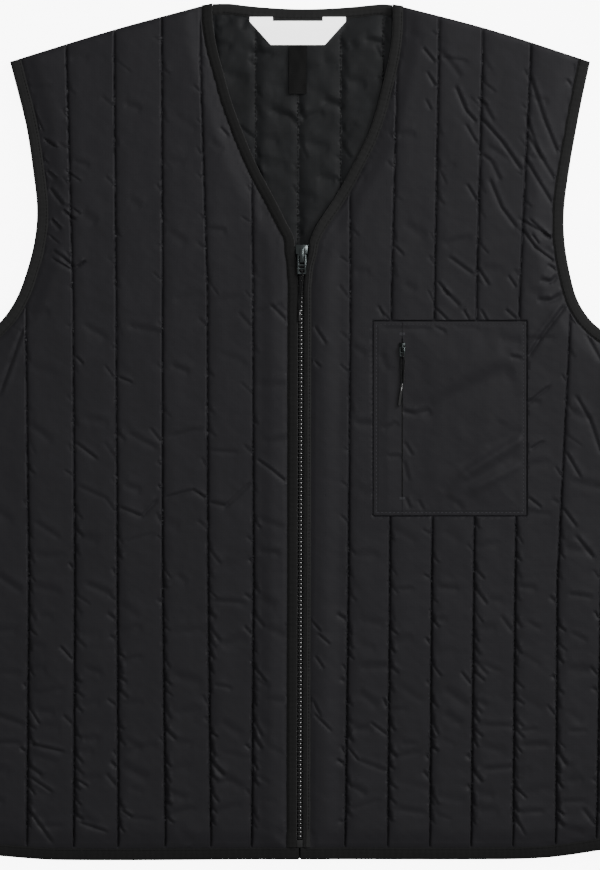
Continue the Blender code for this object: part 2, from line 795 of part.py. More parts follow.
def edge_width(y):
    """The front binding is wide round the V and narrow beside the zip."""
    return mix(BIND_ZIP, BIND_NECK, ease((y - 120.0) / 60.0))


def build_bindings(panels, home):
    right, left, back = panels
    for panel, side, label in ((right, -1, "right"), (left, 1, "left")):
        edge_run = front_edge(side)
        stop = HEM_Y + BIND_HEM + GAP
        strip = [p for p in edge_run if p.y > stop + 1.0]
        strip.append(Vector((zip_x(stop) + side * FRONT_EDGE, stop)))
        along = (shoulder_line(side)[1] - shoulder_line(side)[0]).normalized()
        if side < 0:
            binding("front_binding_right", strip[::-1], edge_width, front_base, home, end=along)
            hem = hem_line(-HALF_WIDTH, edge_run[-1].x)
        else:
            binding("front_binding_left", strip, edge_width, front_base, home, start=along)
            hem = hem_line(edge_run[-1].x, HALF_WIDTH)
        binding(f"hem_binding_front_{label}", hem, constant(BIND_HEM), front_base, home)
        arm = smooth_line(armhole_line(side), LINE_STEP)
        tip = -along
        under = (side_line(side)[1] - side_line(side)[0]).normalized()
        for base, place in ((front_base, "front"), (back_base, "back")):
            name = f"armhole_binding_{place}_{label}"
            if side < 0:
                binding(name, arm, constant(BIND_ARM), base, home, tip, under)
            else:
                binding(name, arm[::-1], constant(BIND_ARM), base, home, under, tip)
    binding("hem_binding_back", hem_line(-HALF_WIDTH, HALF_WIDTH), constant(BIND_HEM), back_base, home)
    neck = smooth_line([Vector(p) for p in BACK_NECK], LINE_STEP)
    binding("neck_binding_back", neck, constant(BIND_NECK + 0.6), back_base, home, DOWN, DOWN)


def bar(name, top, bottom, low_off, high_off, low_z, high_z, home, finish):
    """A straight strip beside the zip's middle line."""
    rings = []
    for y in (top, bottom):
        x = zip_x(y)
        rings.append([(x + low_off, y, low_z), (x + high_off, y, low_z),
                      (x + high_off, y, high_z), (x + low_off, y, high_z)])
    return sweep(name, rings, home, finish)


def box(name, low, high, home):
    """A block between two corners."""
    maker = bmesh.new()
    bmesh.ops.create_cube(maker, size=1.0)
    middle = (Vector(low) + Vector(high)) / 2
    size = Vector(high) - Vector(low)
    bmesh.ops.scale(maker, vec=size, verts=maker.verts)
    bmesh.ops.translate(maker, vec=middle, verts=maker.verts)
    bmesh.ops.scale(maker, vec=(MM, MM, MM), verts=maker.verts)
    mesh = bpy.data.meshes.new(name)
    maker.to_mesh(mesh)
    maker.free()
    return new_object(name, mesh, home)


def combine(thing, other, operation):
    """Add another block to a piece or cut it out, and leave the block as a guide."""
    other.hide_render = True
    other.display_type = "WIRE"
    modifier = thing.modifiers.new(f"{operation} {other.name}", "BOOLEAN")
    modifier.operation = operation
    modifier.solver = "EXACT"
    modifier.object = other


def build_slider(name, puller, low_plate, post_low, post_half, home, guides):
    """A slider body: top plate, crown with its slot, and the post that parts the teeth."""
    p = puller
    top_z = p.plate_z + p.plate_thick
    body = box(name, (p.x - p.plate_half, p.shoulder, p.plate_z), (p.x + p.plate_half, p.plate_top, top_z), home)
    nose = box(f"{name}_nose", (p.x - p.nose_half, p.plate_low, p.plate_z),
               (p.x + p.nose_half, p.shoulder + 0.5, top_z), guides)
    crown_z = top_z + p.slot_high + p.bridge
    crown = box(f"{name}_crown", (p.x - p.crown_half, p.crown_low, top_z - 0.5),
                (p.x + p.crown_half, p.crown_top, crown_z), guides)
    slot = box(f"{name}_slot", (p.x - 3 * p.crown_half, p.crown_low + p.leg, top_z),
               (p.x + 3 * p.crown_half, p.crown_top - p.leg, top_z + p.slot_high), guides)
    post = box(f"{name}_post", (p.x - post_half, p.plate_top - 2.6, post_low),
               (p.x + post_half, p.plate_top - 0.4, top_z - 0.4), guides)
    combine(crown, slot, "DIFFERENCE")
    for other in (nose, crown, post):
        combine(body, other, "UNION")
    if low_plate:
        under = box(f"{name}_under", (p.x - p.nose_half, p.plate_low, low_plate[0]),
                    (p.x + p.nose_half, p.plate_top, low_plate[1]), guides)
        combine(body, under, "UNION")
    add_finish(body, "gunmetal")
    return body


def build_tab(name, puller, home, guides):
    """A pull tab: a flat ladder whose first bar lies in the slot of the crown."""
    p = puller
    pivot = Vector((p.x, p.pivot_y, p.plate_z + p.plate_thick + p.slot_high / 2))
    half = p.tab_thick / 2
    tab = box(name, (p.x - p.tab_half, p.pivot_y - p.tab_end, pivot.z - half),
              (p.x + p.tab_half, p.pivot_y + p.windows[0][0], pivot.z + half), home)
    for number, (near, far) in enumerate(p.windows, 1):
        window = box(f"{name}_window_{number}", (p.x - p.tab_inner, p.pivot_y - far, pivot.z - 2),
                     (p.x + p.tab_inner, p.pivot_y - near, pivot.z + 2), guides)
        combine(tab, window, "DIFFERENCE")
    add_finish(tab, "gunmetal")
    set_origin(tab, pivot)
    return tab


def set_origin(thing, place):
    """Move the object's origin onto its joint's axis and leave its mesh where it is."""
    thing.data.transform(Matrix.Translation(-place * MM))
    thing.location = place * MM


def build_cord(name, route, home):
    """A cord along a smooth route, as a bevelled curve with closed ends."""
    line = smooth_line(route, 3.6)
    curve = bpy.data.curves.new(name, "CURVE")
    curve.dimensions = "3D"
    curve.bevel_depth = CORD_THICK / 2 * MM
    curve.bevel_resolution = 2
    curve.use_fill_caps = True
    spline = curve.splines.new("POLY")
    spline.points.add(len(line) - 1)
    for point, place in zip(spline.points, line):
        point.co = (*(place * MM), 1.0)
    cord = bpy.data.objects.new(name, curve)
    home.objects.link(cord)
    add_finish(cord, "braided cord")
    return cord


def build_tube_end(name, ends, radius, home):
    """The moulded end of a puller, over both strands of its cord."""
    start, end = Vector(ends[0]), Vector(ends[1])
    way = (end - start).normalized()
    across = way.orthogonal().normalized()
    other = way.cross(across)
    rings = []
    length = (end - start).length
    for along, share in ((0.0, 0.75), (0.8, 1.0), (length - 1.2, 1.0), (length, 0.7)):
        ring = []
        for k in range(14):
            angle = 2 * math.pi * k / 14
            off = across * math.cos(angle) + other * math.sin(angle)
            ring.append(start + way * along + off * radius * share)
        rings.append(ring)
    return sweep(name, rings, home, "glossy end")


def build_zip(home, guides):
    for side, label in ((-1, "right"), (1, "left")):
        near, far = sorted((side * GAP / 2, side * TAPE_WIDTH))
        bar(f"zip_tape_{label}", ZIP_TOP_Y, TAPE_END_Y, near, far, TAPE_Z, TAPE_Z + TAPE_THICK,
            home, "zip tape")
    bar("zip_teeth", ZIP_TOP_Y, ZIP_END_Y, -CHAIN_HALF, CHAIN_HALF, CHAIN_Z, CHAIN_Z + CHAIN_THICK,
        home, "zip teeth")
    bar("zip_bottom_stop", ZIP_END_Y - GAP, ZIP_END_Y - 6.5, -CHAIN_HALF, CHAIN_HALF,
        CHAIN_Z, CHAIN_Z + CHAIN_THICK + 0.4, home, "zip teeth")
    build_slider("zip_slider", MAIN_PULLER, (FRONT_BASE, FRONT_BASE + 0.8), FRONT_BASE + 0.4, 1.3,
                 home, guides)
    build_tab("zip_pull_tab", MAIN_PULLER, home, guides)
    build_cord("zip_pull_cord", MAIN_CORD, home)
    build_tube_end("zip_pull_end", MAIN_TUBE, MAIN_TUBE_RADIUS, home)


def pocket_base(x, y):
    """The underside of the pocket cloth: seated at its edge, puffed inside, raised at the zip."""
    from_slit = abs(x - SLIT_X)
    raised = SLIT_RAISE * (1 - ease((from_slit - POCKET_TAPE_HALF - 1.5) / 6.0))
    edge = min(x - POCKET_LEFT, POCKET_RIGHT - x, y - POCKET_LOW, POCKET_TOP - y)
    inner = min(edge, from_slit)
    puff = POCKET_PUFF * ease((inner - 3.0) / 26.0)
    return POCKET_Z + raised + puff - fold_depth(POCKET_FOLDS, x, y) * ease((inner - 4.0) / 8.0)


def pocket_top(x, y):
    return pocket_base(x, y) + POCKET_WALL


def dotted(corners, step):
    """A closed outline through corners, with a point about every step."""
    outline = []
    for a, b in zip(corners, corners[1:] + corners[:1]):
        count = max(1, math.ceil((Vector(b) - Vector(a)).length / step))
        outline += [Vector(a).lerp(Vector(b), k / count) for k in range(count)]
    return outline


def slit_edge(side):
    """The pocket cloth's edge along the zip, from low to high: open only beside the teeth."""
    shut, wide = SLIT_X + side * GAP / 2, SLIT_X + side * SLIT_HALF
    return [(shut, POCKET_LOW), (shut, SLIT_LOW), (wide, SLIT_LOW + 3.0),
            (wide, SLIT_TOP - 3.0), (shut, SLIT_TOP), (shut, POCKET_TOP)]


def build_pocket(home, guides):
    main = [(POCKET_RIGHT, POCKET_LOW), (POCKET_RIGHT, POCKET_TOP)] + slit_edge(1)[::-1]
    strip = [(POCKET_LEFT, POCKET_TOP), (POCKET_LEFT, POCKET_LOW)] + slit_edge(-1)
    for name, corners in (("pocket_panel", main), ("pocket_side", strip)):
        outline = dotted(corners, 14.0)
        closed = [outline + outline[:1]]
        points = grid(POCKET_LEFT + 5, POCKET_RIGHT - 5, POCKET_LOW + 5, POCKET_TOP - 5, 12.5, 12.5)
        points = [p for p in points if inside(outline, p.x, p.y) and distance(closed, p.x, p.y) > 2.5]
        wall(name, outline, points, points, pocket_top, pocket_base, home, "shell nylon", [], [], [])
    box_low = (SLIT_X - POCKET_TAPE_HALF, SLIT_LOW - 2.0, POCKET_Z)
    box_high = (SLIT_X + POCKET_TAPE_HALF, SLIT_TOP + 2.0, POCKET_Z + POCKET_TAPE_THICK)
    add_finish(box("pocket_zip_tape", box_low, box_high, home), "zip tape")
    teeth_low = (SLIT_X - POCKET_CHAIN_HALF, SLIT_LOW + 3.2, POCKET_CHAIN_Z)
    teeth_high = (SLIT_X + POCKET_CHAIN_HALF, POCKET_PULLER.plate_top - 2.9,
                  POCKET_CHAIN_Z + POCKET_CHAIN_THICK)
    add_finish(box("pocket_zip_teeth", teeth_low, teeth_high, home), "zip teeth")
    build_slider("pocket_slider", POCKET_PULLER, None, POCKET_CHAIN_Z, 0.6, home, guides)
    build_tab("pocket_pull_tab", POCKET_PULLER, home, guides)
    build_cord("pocket_pull_cord", POCKET_CORD, home)
    build_tube_end("pocket_pull_end", POCKET_TUBE, POCKET_TUBE_RADIUS, home)


def build_labels(back, home):
    """A mitred tape label and a small tag below it, lying on the crowns of the lining."""
    def seat(x, y):
        edge = distance(back.bound, x, y)
        return mix(BAND_THICK, CROWN_THICK, ease((edge - BAND + LABEL_LEAD) / BAND_RISE)) + GAP + 0.1

    def face(x, y):
        return seat(x, y) + LABEL_THICK

    x, notch = LABEL_X, LABEL_TOP - LABEL_NOTCH
    corners = [
        (x - LABEL_LOW_HALF, LABEL_LOW), (x + LABEL_LOW_HALF, LABEL_LOW),
        (x + LABEL_TOP_HALF, notch - 0.5), (x + LABEL_TOP_HALF, LABEL_TOP),
        (x + LABEL_TOP_HALF - LABEL_LEG, LABEL_TOP), (x + LABEL_TOP_HALF - LABEL_LEG, notch),
        (x - LABEL_TOP_HALF + LABEL_LEG, notch), (x - LABEL_TOP_HALF + LABEL_LEG, LABEL_TOP),
        (x - LABEL_TOP_HALF, LABEL_TOP), (x - LABEL_TOP_HALF, notch - 0.5),
    ]
    outline = dotted(corners, LABEL_STEP)
    points = [p for p in grid(x - 34, x + 34, LABEL_LOW + 4, LABEL_TOP - 4, LABEL_STEP, LABEL_STEP)
              if inside(outline, p.x, p.y) and distance([outline + outline[:1]], p.x, p.y) > 1.5]
    wall("neck_label", outline, points, points, face, seat, home, "white satin", [], [], [])
    tag = dotted([(x - TAG_HALF, TAG_LOW), (x + TAG_HALF, TAG_LOW),
                  (x + TAG_HALF, LABEL_LOW - GAP), (x - TAG_HALF, LABEL_LOW - GAP)], LABEL_STEP)
    wall("size_tag", tag, [], [], face, seat, home, "black satin", [], [], [])


def main():
    for thing in list(bpy.data.objects):
        bpy.data.objects.remove(thing)
    home = collection("liner vest")
    guides = collection("guides")
    right, left, back = front_panel(-1), front_panel(1), back_panel()
    for name, panel in (("front_right", right), ("front_left", left)):
        build_panel(name, panel, FRONT_ROW, FRONT_CREST, home, "shell nylon")
    build_panel("back", back, BACK_ROW, BACK_CREST, home, "lining nylon")
    build_bindings((right, left, back), home)
    build_zip(home, guides)
    build_pocket(home, guides)
    build_labels(back, home)


main()
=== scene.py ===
import math
import random
from collections import namedtuple

import bmesh
import bpy
import numpy as np
from mathutils import Matrix, Vector, noise
from mathutils.geometry import delaunay_2d_cdt


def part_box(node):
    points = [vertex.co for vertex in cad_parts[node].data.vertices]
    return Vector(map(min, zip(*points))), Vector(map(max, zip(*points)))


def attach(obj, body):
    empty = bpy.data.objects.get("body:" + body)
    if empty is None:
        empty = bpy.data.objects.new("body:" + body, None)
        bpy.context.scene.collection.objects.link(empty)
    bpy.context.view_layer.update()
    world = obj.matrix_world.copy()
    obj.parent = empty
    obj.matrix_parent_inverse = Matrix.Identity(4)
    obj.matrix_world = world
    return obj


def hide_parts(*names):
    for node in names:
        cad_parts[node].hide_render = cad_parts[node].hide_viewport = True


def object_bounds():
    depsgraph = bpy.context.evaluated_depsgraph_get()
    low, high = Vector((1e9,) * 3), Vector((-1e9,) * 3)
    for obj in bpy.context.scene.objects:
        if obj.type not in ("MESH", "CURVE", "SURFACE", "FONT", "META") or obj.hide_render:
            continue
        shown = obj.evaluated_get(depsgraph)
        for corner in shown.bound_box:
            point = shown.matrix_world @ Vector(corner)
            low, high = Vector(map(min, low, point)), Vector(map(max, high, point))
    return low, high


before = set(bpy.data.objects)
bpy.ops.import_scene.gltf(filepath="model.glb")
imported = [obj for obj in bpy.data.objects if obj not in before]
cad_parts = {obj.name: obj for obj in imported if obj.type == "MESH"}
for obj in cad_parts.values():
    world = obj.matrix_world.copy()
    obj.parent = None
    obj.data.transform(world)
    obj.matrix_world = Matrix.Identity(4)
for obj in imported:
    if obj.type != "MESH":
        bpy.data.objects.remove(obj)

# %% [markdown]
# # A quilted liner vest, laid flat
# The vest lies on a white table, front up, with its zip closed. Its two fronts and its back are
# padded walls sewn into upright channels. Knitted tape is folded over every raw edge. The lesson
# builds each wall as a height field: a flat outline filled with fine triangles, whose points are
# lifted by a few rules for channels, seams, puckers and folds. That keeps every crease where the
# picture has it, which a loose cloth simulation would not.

MM = 0.001
cad_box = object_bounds()
cad_low, cad_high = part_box("back")
print("CAD size in mm:", [round((b - a) / MM, 1) for a, b in zip(*cad_box)])

# %% [markdown]
# ## Driving sizes
# Lengths are millimetres, as a tailor would write them, and become metres when a mesh is made.
# X points to the wearer's left, Y to the neck and Z up from the table.

# %% Sizes of the garment
HALF_WIDTH = cad_high.x / MM
HEM_Y = cad_low.y / MM
GAP = 0.3
SEAM_THICK = 3.5
CROWN_THICK = 5.5
SEAM_SPREAD = 11.0
STITCH_WIDE = 0.8
FRONT_BASE = 6.0
SIDE_ROUND = 3.0
SIDE_THICK = 3.6
SIDE_BLEND = 3.0
BIND_WALL = 0.9
BIND_NECK = 8.4
BIND_NECK_BACK = 9.0
BIND_ARM = 9.2
BIND_HEM = 9.6
BIND_ZIP = 6.2
BIND_ZIP_RIGHT = 8.2
EDGE_THICK = 1.3
EDGE_INSET = BIND_WALL + GAP
BAND_THICK = EDGE_INSET + EDGE_THICK
BIND_THICK = BAND_THICK + EDGE_INSET
BAND_RISE = 7.0
SOFT_RISE = 14.0
FLAP_STEP = 1.1
ZIP_TOP_X = 0.4
ZIP_HEM_X = -0.6
HEM_REACH = 1.7
ZIP_TOP_Y = 145.4
ZIP_END_Y = -326.0
ZIP_LIFT = 2.2
LIFT_FLAT = 15.0
LIFT_END = 31.0
FRONT_EDGE = 2.3
POCKET_LEFT = 58.3
POCKET_RIGHT = 180.4
POCKET_TOP = 87.8
POCKET_LOW = -67.2
POCKET_SEAT = 3.8
POCKET_WALL = 1.2
POCKET_PUFF = 1.3
SLIT_X = 81.2
SLIT_TOP = 76.3
SLIT_LOW = -53.8
SLIT_HALF = 0.5
SLIT_RAISE = 0.3
TAPE_HALF = 6.0
EDGE_SEWN = 2.2
POCKET_Z = FRONT_BASE + POCKET_SEAT + GAP

Point = namedtuple("Point", "x y")
Level = namedtuple("Level", "y right left")
Seam = namedtuple("Seam", "top chest waist hem")
Fold = namedtuple("Fold", "x0 y0 x1 y1 depth width")

# Half widths of the two armhole edges, from the shoulder tip to the underarm
ARMHOLE = (
    Level(295.5, 232.4, 231.6),
    Level(265.0, 224.4, 225.0),
    Level(241.0, 218.8, 220.4),
    Level(209.0, 214.0, 214.8),
    Level(177.0, 210.7, 210.8),
    Level(150.0, 213.2, 211.4),
    Level(121.0, 221.2, 216.6),
    Level(104.0, 228.4, 222.0),
    Level(89.0, 238.8, 231.8),
    Level(76.0, 253.0, 248.5),
    Level(67.0, 270.0, 270.0),
)

# Edges of the two fronts at the neck, and the back neck
NECK_RIGHT = (
    Point(-70.4, 342.4), Point(-70.4, 329.0), Point(-67.1, 307.5), Point(-62.0, 288.3),
    Point(-54.0, 260.3), Point(-36.6, 216.3), Point(-20.4, 185.1), Point(-11.8, 168.0),
    Point(-5.2, 154.5), Point(-4.4, 141.0), Point(-3.3, 136.0), Point(-2.7, 126.0),
)
NECK_LEFT = (
    Point(73.6, 341.6), Point(73.8, 329.0), Point(72.2, 308.0), Point(67.4, 283.9),
    Point(56.0, 242.7), Point(40.0, 209.1), Point(26.2, 185.1), Point(13.0, 165.0),
    Point(7.6, 152.0), Point(6.4, 141.0), Point(4.9, 136.0), Point(3.5, 126.0),
)
BACK_NECK = (
    Point(73.6, 341.6), Point(66.0, 342.2), Point(34.0, 339.4), Point(0.0, 338.2),
    Point(-34.0, 340.0), Point(-63.0, 343.1), Point(-70.4, 342.4),
)
SHOULDER_MIDDLE = {-1: Point(-150.0, 320.8), 1: Point(152.0, 321.0)}
HEM = (
    Point(-HALF_WIDTH, -335.8), Point(-240.0, -339.6), Point(-192.0, -342.8), Point(0.0, HEM_Y),
    Point(160.0, HEM_Y), Point(200.0, -340.6), Point(240.0, -334.9), Point(HALF_WIDTH, -329.0),
)

# Where each channel seam lies, in x, at four heights
SEAM_HEIGHTS = (300.0, 115.0, -119.0, -335.0)
SEAMS = {
    -1: (
        Seam(-40.2, -38.4, -38.0, -39.6),
        Seam(-80.6, -74.8, -74.4, -72.1),
        Seam(-111.2, -110.6, -110.6, -108.4),
        Seam(-149.2, -147.8, -146.8, -146.2),
        Seam(-187.4, -182.2, -180.8, -181.8),
        Seam(-224.0, -220.2, -217.4, -219.3),
        Seam(-258.0, -256.0, -253.0, -255.0),
    ),
    1: (
        Seam(39.0, 39.4, 37.8, 35.1),
        Seam(77.2, 72.4, 70.8, 69.2),
        Seam(110.0, 106.8, 104.4, 102.8),
        Seam(145.0, 140.4, 138.0, 135.8),
        Seam(183.6, 174.8, 171.0, 169.2),
        Seam(222.0, 216.4, 204.7, 203.4),
        Seam(258.0, 250.4, 239.5, 235.9),
    ),
}
BACK_SEAMS = tuple(Seam(*[-2.0 + 34.0 * k] * 4) for k in range(-7, 8))

# %% [markdown]
# ## Creases listed one by one
# Each row is one soft trough: where it starts and ends, how deep it is and how wide. A ridge
# beside it lifts a little, as cloth does when it is pushed together.

# %% Creases of the fronts, the lining and the pocket


def creases(rows):
    """Folds from rows of start x, start y, end x, end y, depth and width."""
    return tuple(Fold(*row) for row in rows)


LEFT_FOLDS = creases((
    (98, 306, 107, 295, 1.0, 2.8), (101, 287, 107, 276, 0.8, 2.6), (100, 265, 104, 257, 0.7, 2.6),
    (132, 245, 140, 231, 0.8, 2.8), (133, 197, 140, 185, 0.9, 2.8), (112, 304, 122, 291, 0.6, 5.0),
    (122, 291, 128, 283, 0.6, 5.0), (142, 266, 149, 260, 0.8, 2.8), (180, 253, 184, 239, 0.9, 3.0),
    (184, 239, 191, 220, 0.8, 3.4), (145, 221, 152, 216, 0.9, 3.4), (152, 216, 159, 201, 0.8, 3.8),
    (183, 169, 199, 155, 1.1, 2.8), (185, 157, 190, 150, 1.0, 2.4), (192, 121, 200, 119, 1.4, 4.6),
    (200, 119, 205, 124, 1.2, 4.2), (190, 105, 200, 104, 1.3, 4.6), (200, 104, 210, 110, 1.3, 4.4),
    (198, 133, 205, 128, 1.0, 2.6), (110, 119, 118, 109, 1.1, 2.6), (166, 124, 172, 115, 0.8, 2.6),
    (75, 148, 82, 141, 0.8, 2.6), (219, 293, 218, 275, 0.9, 2.6), (213, 281, 218, 274, 0.9, 2.6),
    (108, 98, 117, 89, 0.9, 2.6), (130, 97, 134, 90, 0.9, 2.4), (144, 97, 149, 88, 0.9, 2.4),
    (164, 97, 172, 90, 0.9, 2.6), (62, 100, 66, 92, 0.8, 2.6), (202, 176, 206, 170, 1.0, 2.2),
    (124, 275, 132, 256, 1.3, 3.4), (132, 256, 140, 247, 1.2, 3.0), (144, 250, 160, 232, 1.2, 3.2),
    (160, 232, 176, 209, 1.3, 3.4), (144, 265, 154, 248, 0.7, 3.5), (183, 284, 194, 250, 1.1, 3.6),
    (194, 250, 205, 223, 1.2, 3.4), (180, 238, 203, 201, 1.0, 3.4), (178, 220, 191, 198, 1.1, 3.2),
    (191, 198, 203, 179, 1.2, 3.2), (151, 201, 160, 179, 1.0, 3.4), (160, 179, 172, 163, 1.1, 3.2),
    (176, 169, 201, 154, 1.2, 3.0), (177, 161, 188, 146, 1.2, 2.8), (188, 146, 202, 136, 1.2, 2.8),
    (141, 131, 150, 117, 1.0, 3.0), (119, 139, 138, 125, 0.9, 3.4), (114, 113, 127, 100, 0.9, 3.4),
    (182, 60, 192, 75, 1.5, 3.4), (192, 75, 211, 100, 1.6, 3.8), (182, 23, 199, 36, 1.0, 3.0),
    (184, -14, 194, -8, 0.9, 2.8), (182, -53, 192, -61, 0.9, 2.8), (212, -17, 223, -36, 1.0, 3.0),
    (209, -61, 220, -76, 1.0, 3.0), (220, -84, 234, -101, 1.1, 3.4), (220, 28, 231, 9, 1.0, 3.2),
    (231, 9, 240, -18, 1.0, 3.4), (228, 78, 240, 56, 1.0, 3.4), (11, 84, 20, 70, 0.9, 2.8),
    (11, 56, 16, 51, 0.8, 2.4), (9, -152, 16, -160, 0.9, 2.4), (14, -162, 23, -170, 0.9, 2.6),
    (12, -180, 18, -189, 0.9, 2.4), (9, -214, 16, -228, 0.9, 2.6), (11, -226, 24, -239, 0.9, 2.6),
    (38, -253, 46, -263, 0.9, 2.4), (171, -284, 180, -293, 0.9, 2.4),
    (171, -307, 179, -322, 0.9, 2.6),
))
RIGHT_FOLDS = creases((
    (-187, 208, -181, 203.5, 1.0, 2.0), (-181, 203.5, -176, 200, 0.8, 2.0),
    (-189, 177, -181.5, 170, 1.1, 2.0), (-181.5, 178, -176, 173.5, 0.9, 1.8),
    (-198, 138, -181.5, 128, 1.1, 2.1), (-181.5, 129, -173, 136, 0.8, 2.0),
    (-205, 234, -195, 227, 1.0, 1.8), (-201.5, 208, -195, 202.5, 1.0, 1.8),
    (-199, 170, -191.5, 162.5, 1.0, 1.8), (-214, 258, -206, 240, 0.8, 2.1),
    (-201, 157, -193, 150, 0.8, 1.8), (-208, 221, -202, 214, 0.8, 1.8),
    (-203, 233, -196, 228, 1.1, 2.8), (-203, 208, -196, 201, 1.0, 2.8),
    (-200, 194, -190, 181, 1.5, 3.2), (-190, 176, -180, 169, 1.1, 3.0),
    (-199, 169, -192, 161, 1.1, 2.8), (-197, 144, -190, 139, 1.1, 2.8),
    (-190, 139, -181, 131, 1.5, 3.2), (-178, 132, -172, 136, 1.0, 2.6),
    (-64, 243, -58, 236, 0.9, 2.8), (-180, 60, -174, 54, 1.0, 2.6), (-145, 43, -135, 39, 1.0, 2.6),
    (-180, -9, -163, -22, 1.0, 3.0), (-24, 101, -11, 88, 0.9, 3.0), (-34, -23, -23, -31, 1.0, 2.8),
    (-23, -31, -11, -41, 1.0, 2.8), (-221, 84, -240, 31, 1.3, 3.6),
    (-144, -61, -127, -68, 1.0, 3.2), (-127, -68, -115, -55, 1.0, 3.2),
    (-108, -53, -86, -47, 0.9, 3.2), (-86, -47, -76, -53, 0.9, 3.0), (-73, -57, -60, -60, 0.8, 3.2),
    (-60, -60, -40, -41, 0.9, 3.4), (-216, -250, -190, -256, 1.2, 3.0),
    (-217, -276, -199, -288, 1.1, 2.8), (-217, -303, -199, -328, 1.2, 3.0),
    (-180, -278, -170, -284, 1.0, 2.6), (-176, -313, -155, -320, 1.1, 3.0),
    (-143, -303, -135, -308, 1.0, 2.6),
))
LINING_FOLDS = creases((
    (-24, 257, -4, 250, 1.7, 2.6), (1, 250, 18, 255, 1.6, 2.6), (19, 265, 34, 259, 1.8, 2.6),
    (15, 204, 27, 201, 1.3, 2.8), (-40, 303, -22, 302, 1.8, 2.6), (-69, 310, -56, 308, 1.3, 2.6),
    (-16, 294, 14, 288, 0.9, 4.2), (52, 314, 66, 310, 1.5, 2.4), (-66, 326, -56, 329, 1.1, 2.6),
    (-47, 322, -44, 332, 1.2, 2.2), (40, 312, 44, 306, 1.1, 2.4), (36, 281, 52, 277, 1.0, 3.4),
    (-60, 286, -42, 282, 0.9, 3.6), (-34, 236, -18, 232, 1.0, 3.2), (6, 232, 22, 226, 1.0, 3.2),
    (-30, 214, -12, 212, 0.9, 3.4), (-2, 190, 12, 186, 0.9, 3.0), (-24, 272, -8, 276, 0.8, 4.0),
    (18, 296, 30, 292, 0.8, 3.6), (34, 238, 44, 246, 0.8, 3.4),
))
POCKET_FOLDS = creases((
    (131, -34, 178, -5, -1.3, 4.4), (136, -47, 176, -26, -0.9, 4.0),
    (120, -52, 132, -34, -0.7, 5.0), (99, 15, 131, 33, 1.2, 7.0), (131, 33, 167, 49, 1.3, 8.0),
    (82, 16, 91, 13.6, 1.0, 2.0), (91, 13.6, 104, 15.8, 0.8, 2.6), (83, -9, 89, -19, 0.6, 1.5),
    (82.4, -24, 86, -39, 0.5, 1.7), (84, -53, 87, -61, 0.7, 1.5), (94, -55, 98, -63, 0.5, 1.5),
    (124, -56, 130, -63, 0.4, 2.6), (70, -20.5, 80, -19.5, 0.5, 1.8), (66, 83, 104, 82, 0.6, 2.4),
    (107, 84, 116, 79, 0.6, 1.7), (124, 84, 142, 83, 0.5, 2.2), (168, 59.5, 178, 58, 0.8, 1.8),
    (66, 2, 78, 6, 0.5, 2.4), (64, 62, 70, 48, 0.4, 3.0), (150, -12, 160, 8, 0.5, 5.0),
    (160, 74, 176, 70, 0.4, 4.0),
))
print("creases:", len(LEFT_FOLDS) + len(RIGHT_FOLDS) + len(LINING_FOLDS))

# %% [markdown]
# ## The camera
# It hangs straight above the table and looks down. It is far away with a narrow view, so that
# edges at different heights stay where the flat plan has them.

# %% Camera
VIEW_HEIGHT = 0.696
VIEW_CENTRE = Vector((-0.0004, -0.0029, 0.006))
CAMERA_FAR = 3.5
camera_data = bpy.data.cameras.new("camera above")
camera_data.type = "PERSP"
camera_data.sensor_fit = "VERTICAL"
camera_data.sensor_height = 24.0
camera_data.lens = camera_data.sensor_height * CAMERA_FAR / VIEW_HEIGHT
camera = bpy.data.objects.new("camera above", camera_data)
camera.location = VIEW_CENTRE + Vector((0.0, 0.0, CAMERA_FAR))
bpy.context.scene.collection.objects.link(camera)
bpy.context.scene.camera = camera
print("camera lens:", round(camera_data.lens, 1))

# %% [markdown]
# ## Small helpers
# One function turns a screen colour into the linear numbers that a shader wants, and one adds
# a node with its settings and links, so that each material reads as a short list of steps.

# %% Colour and node helpers


def colour(code):
    """Linear red, green, blue and alpha from a screen colour such as #262628."""
    parts = [int(code[i:i + 2], 16) / 255 for i in (1, 3, 5)]
    linear = [c / 12.92 if c <= 0.04045 else ((c + 0.055) / 1.055) ** 2.4 for c in parts]
    return (*linear, 1.0)


def add(tree, kind, inputs=(), **settings):
    """Add a node. inputs gives each socket a value, or the output that feeds it."""
    made = tree.nodes.new(kind)
    for name, value in settings.items():
        setattr(made, name, value)
    for name, value in dict(inputs).items():
        if isinstance(value, bpy.types.NodeSocket):
            tree.links.new(value, made.inputs[name])
        else:
            made.inputs[name].default_value = value
    return made


def new_material(name, base, roughness, metallic=0.0, ior=1.5):
    """A Principled material and the parts of its node tree."""
    material = bpy.data.materials.new(name)
    material.use_nodes = True
    tree = material.node_tree
    shader = tree.nodes["Principled BSDF"]
    shader.inputs["Base Color"].default_value = colour(base)
    shader.inputs["Roughness"].default_value = roughness
    shader.inputs["Metallic"].default_value = metallic
    shader.inputs["IOR"].default_value = ior
    return material, tree, shader


def bumps(tree, shader, layers):
    """Chain bump nodes: each layer is a height output and its depth in millimetres."""
    normal = None
    for height, depth in layers:
        inputs = {"Height": height, "Distance": depth * MM, "Strength": 1.0}
        if normal is not None:
            inputs["Normal"] = normal
        normal = add(tree, "ShaderNodeBump", inputs).outputs["Normal"]
    tree.links.new(normal, shader.inputs["Normal"])


def ridges(pitch):
    """The scale of a wave texture whose ridges are a pitch in millimetres apart."""
    return math.pi / (10 * pitch * MM)


def patches(size):
    """The scale of a noise texture whose patches are about a size in millimetres."""
    return 1 / (size * MM)


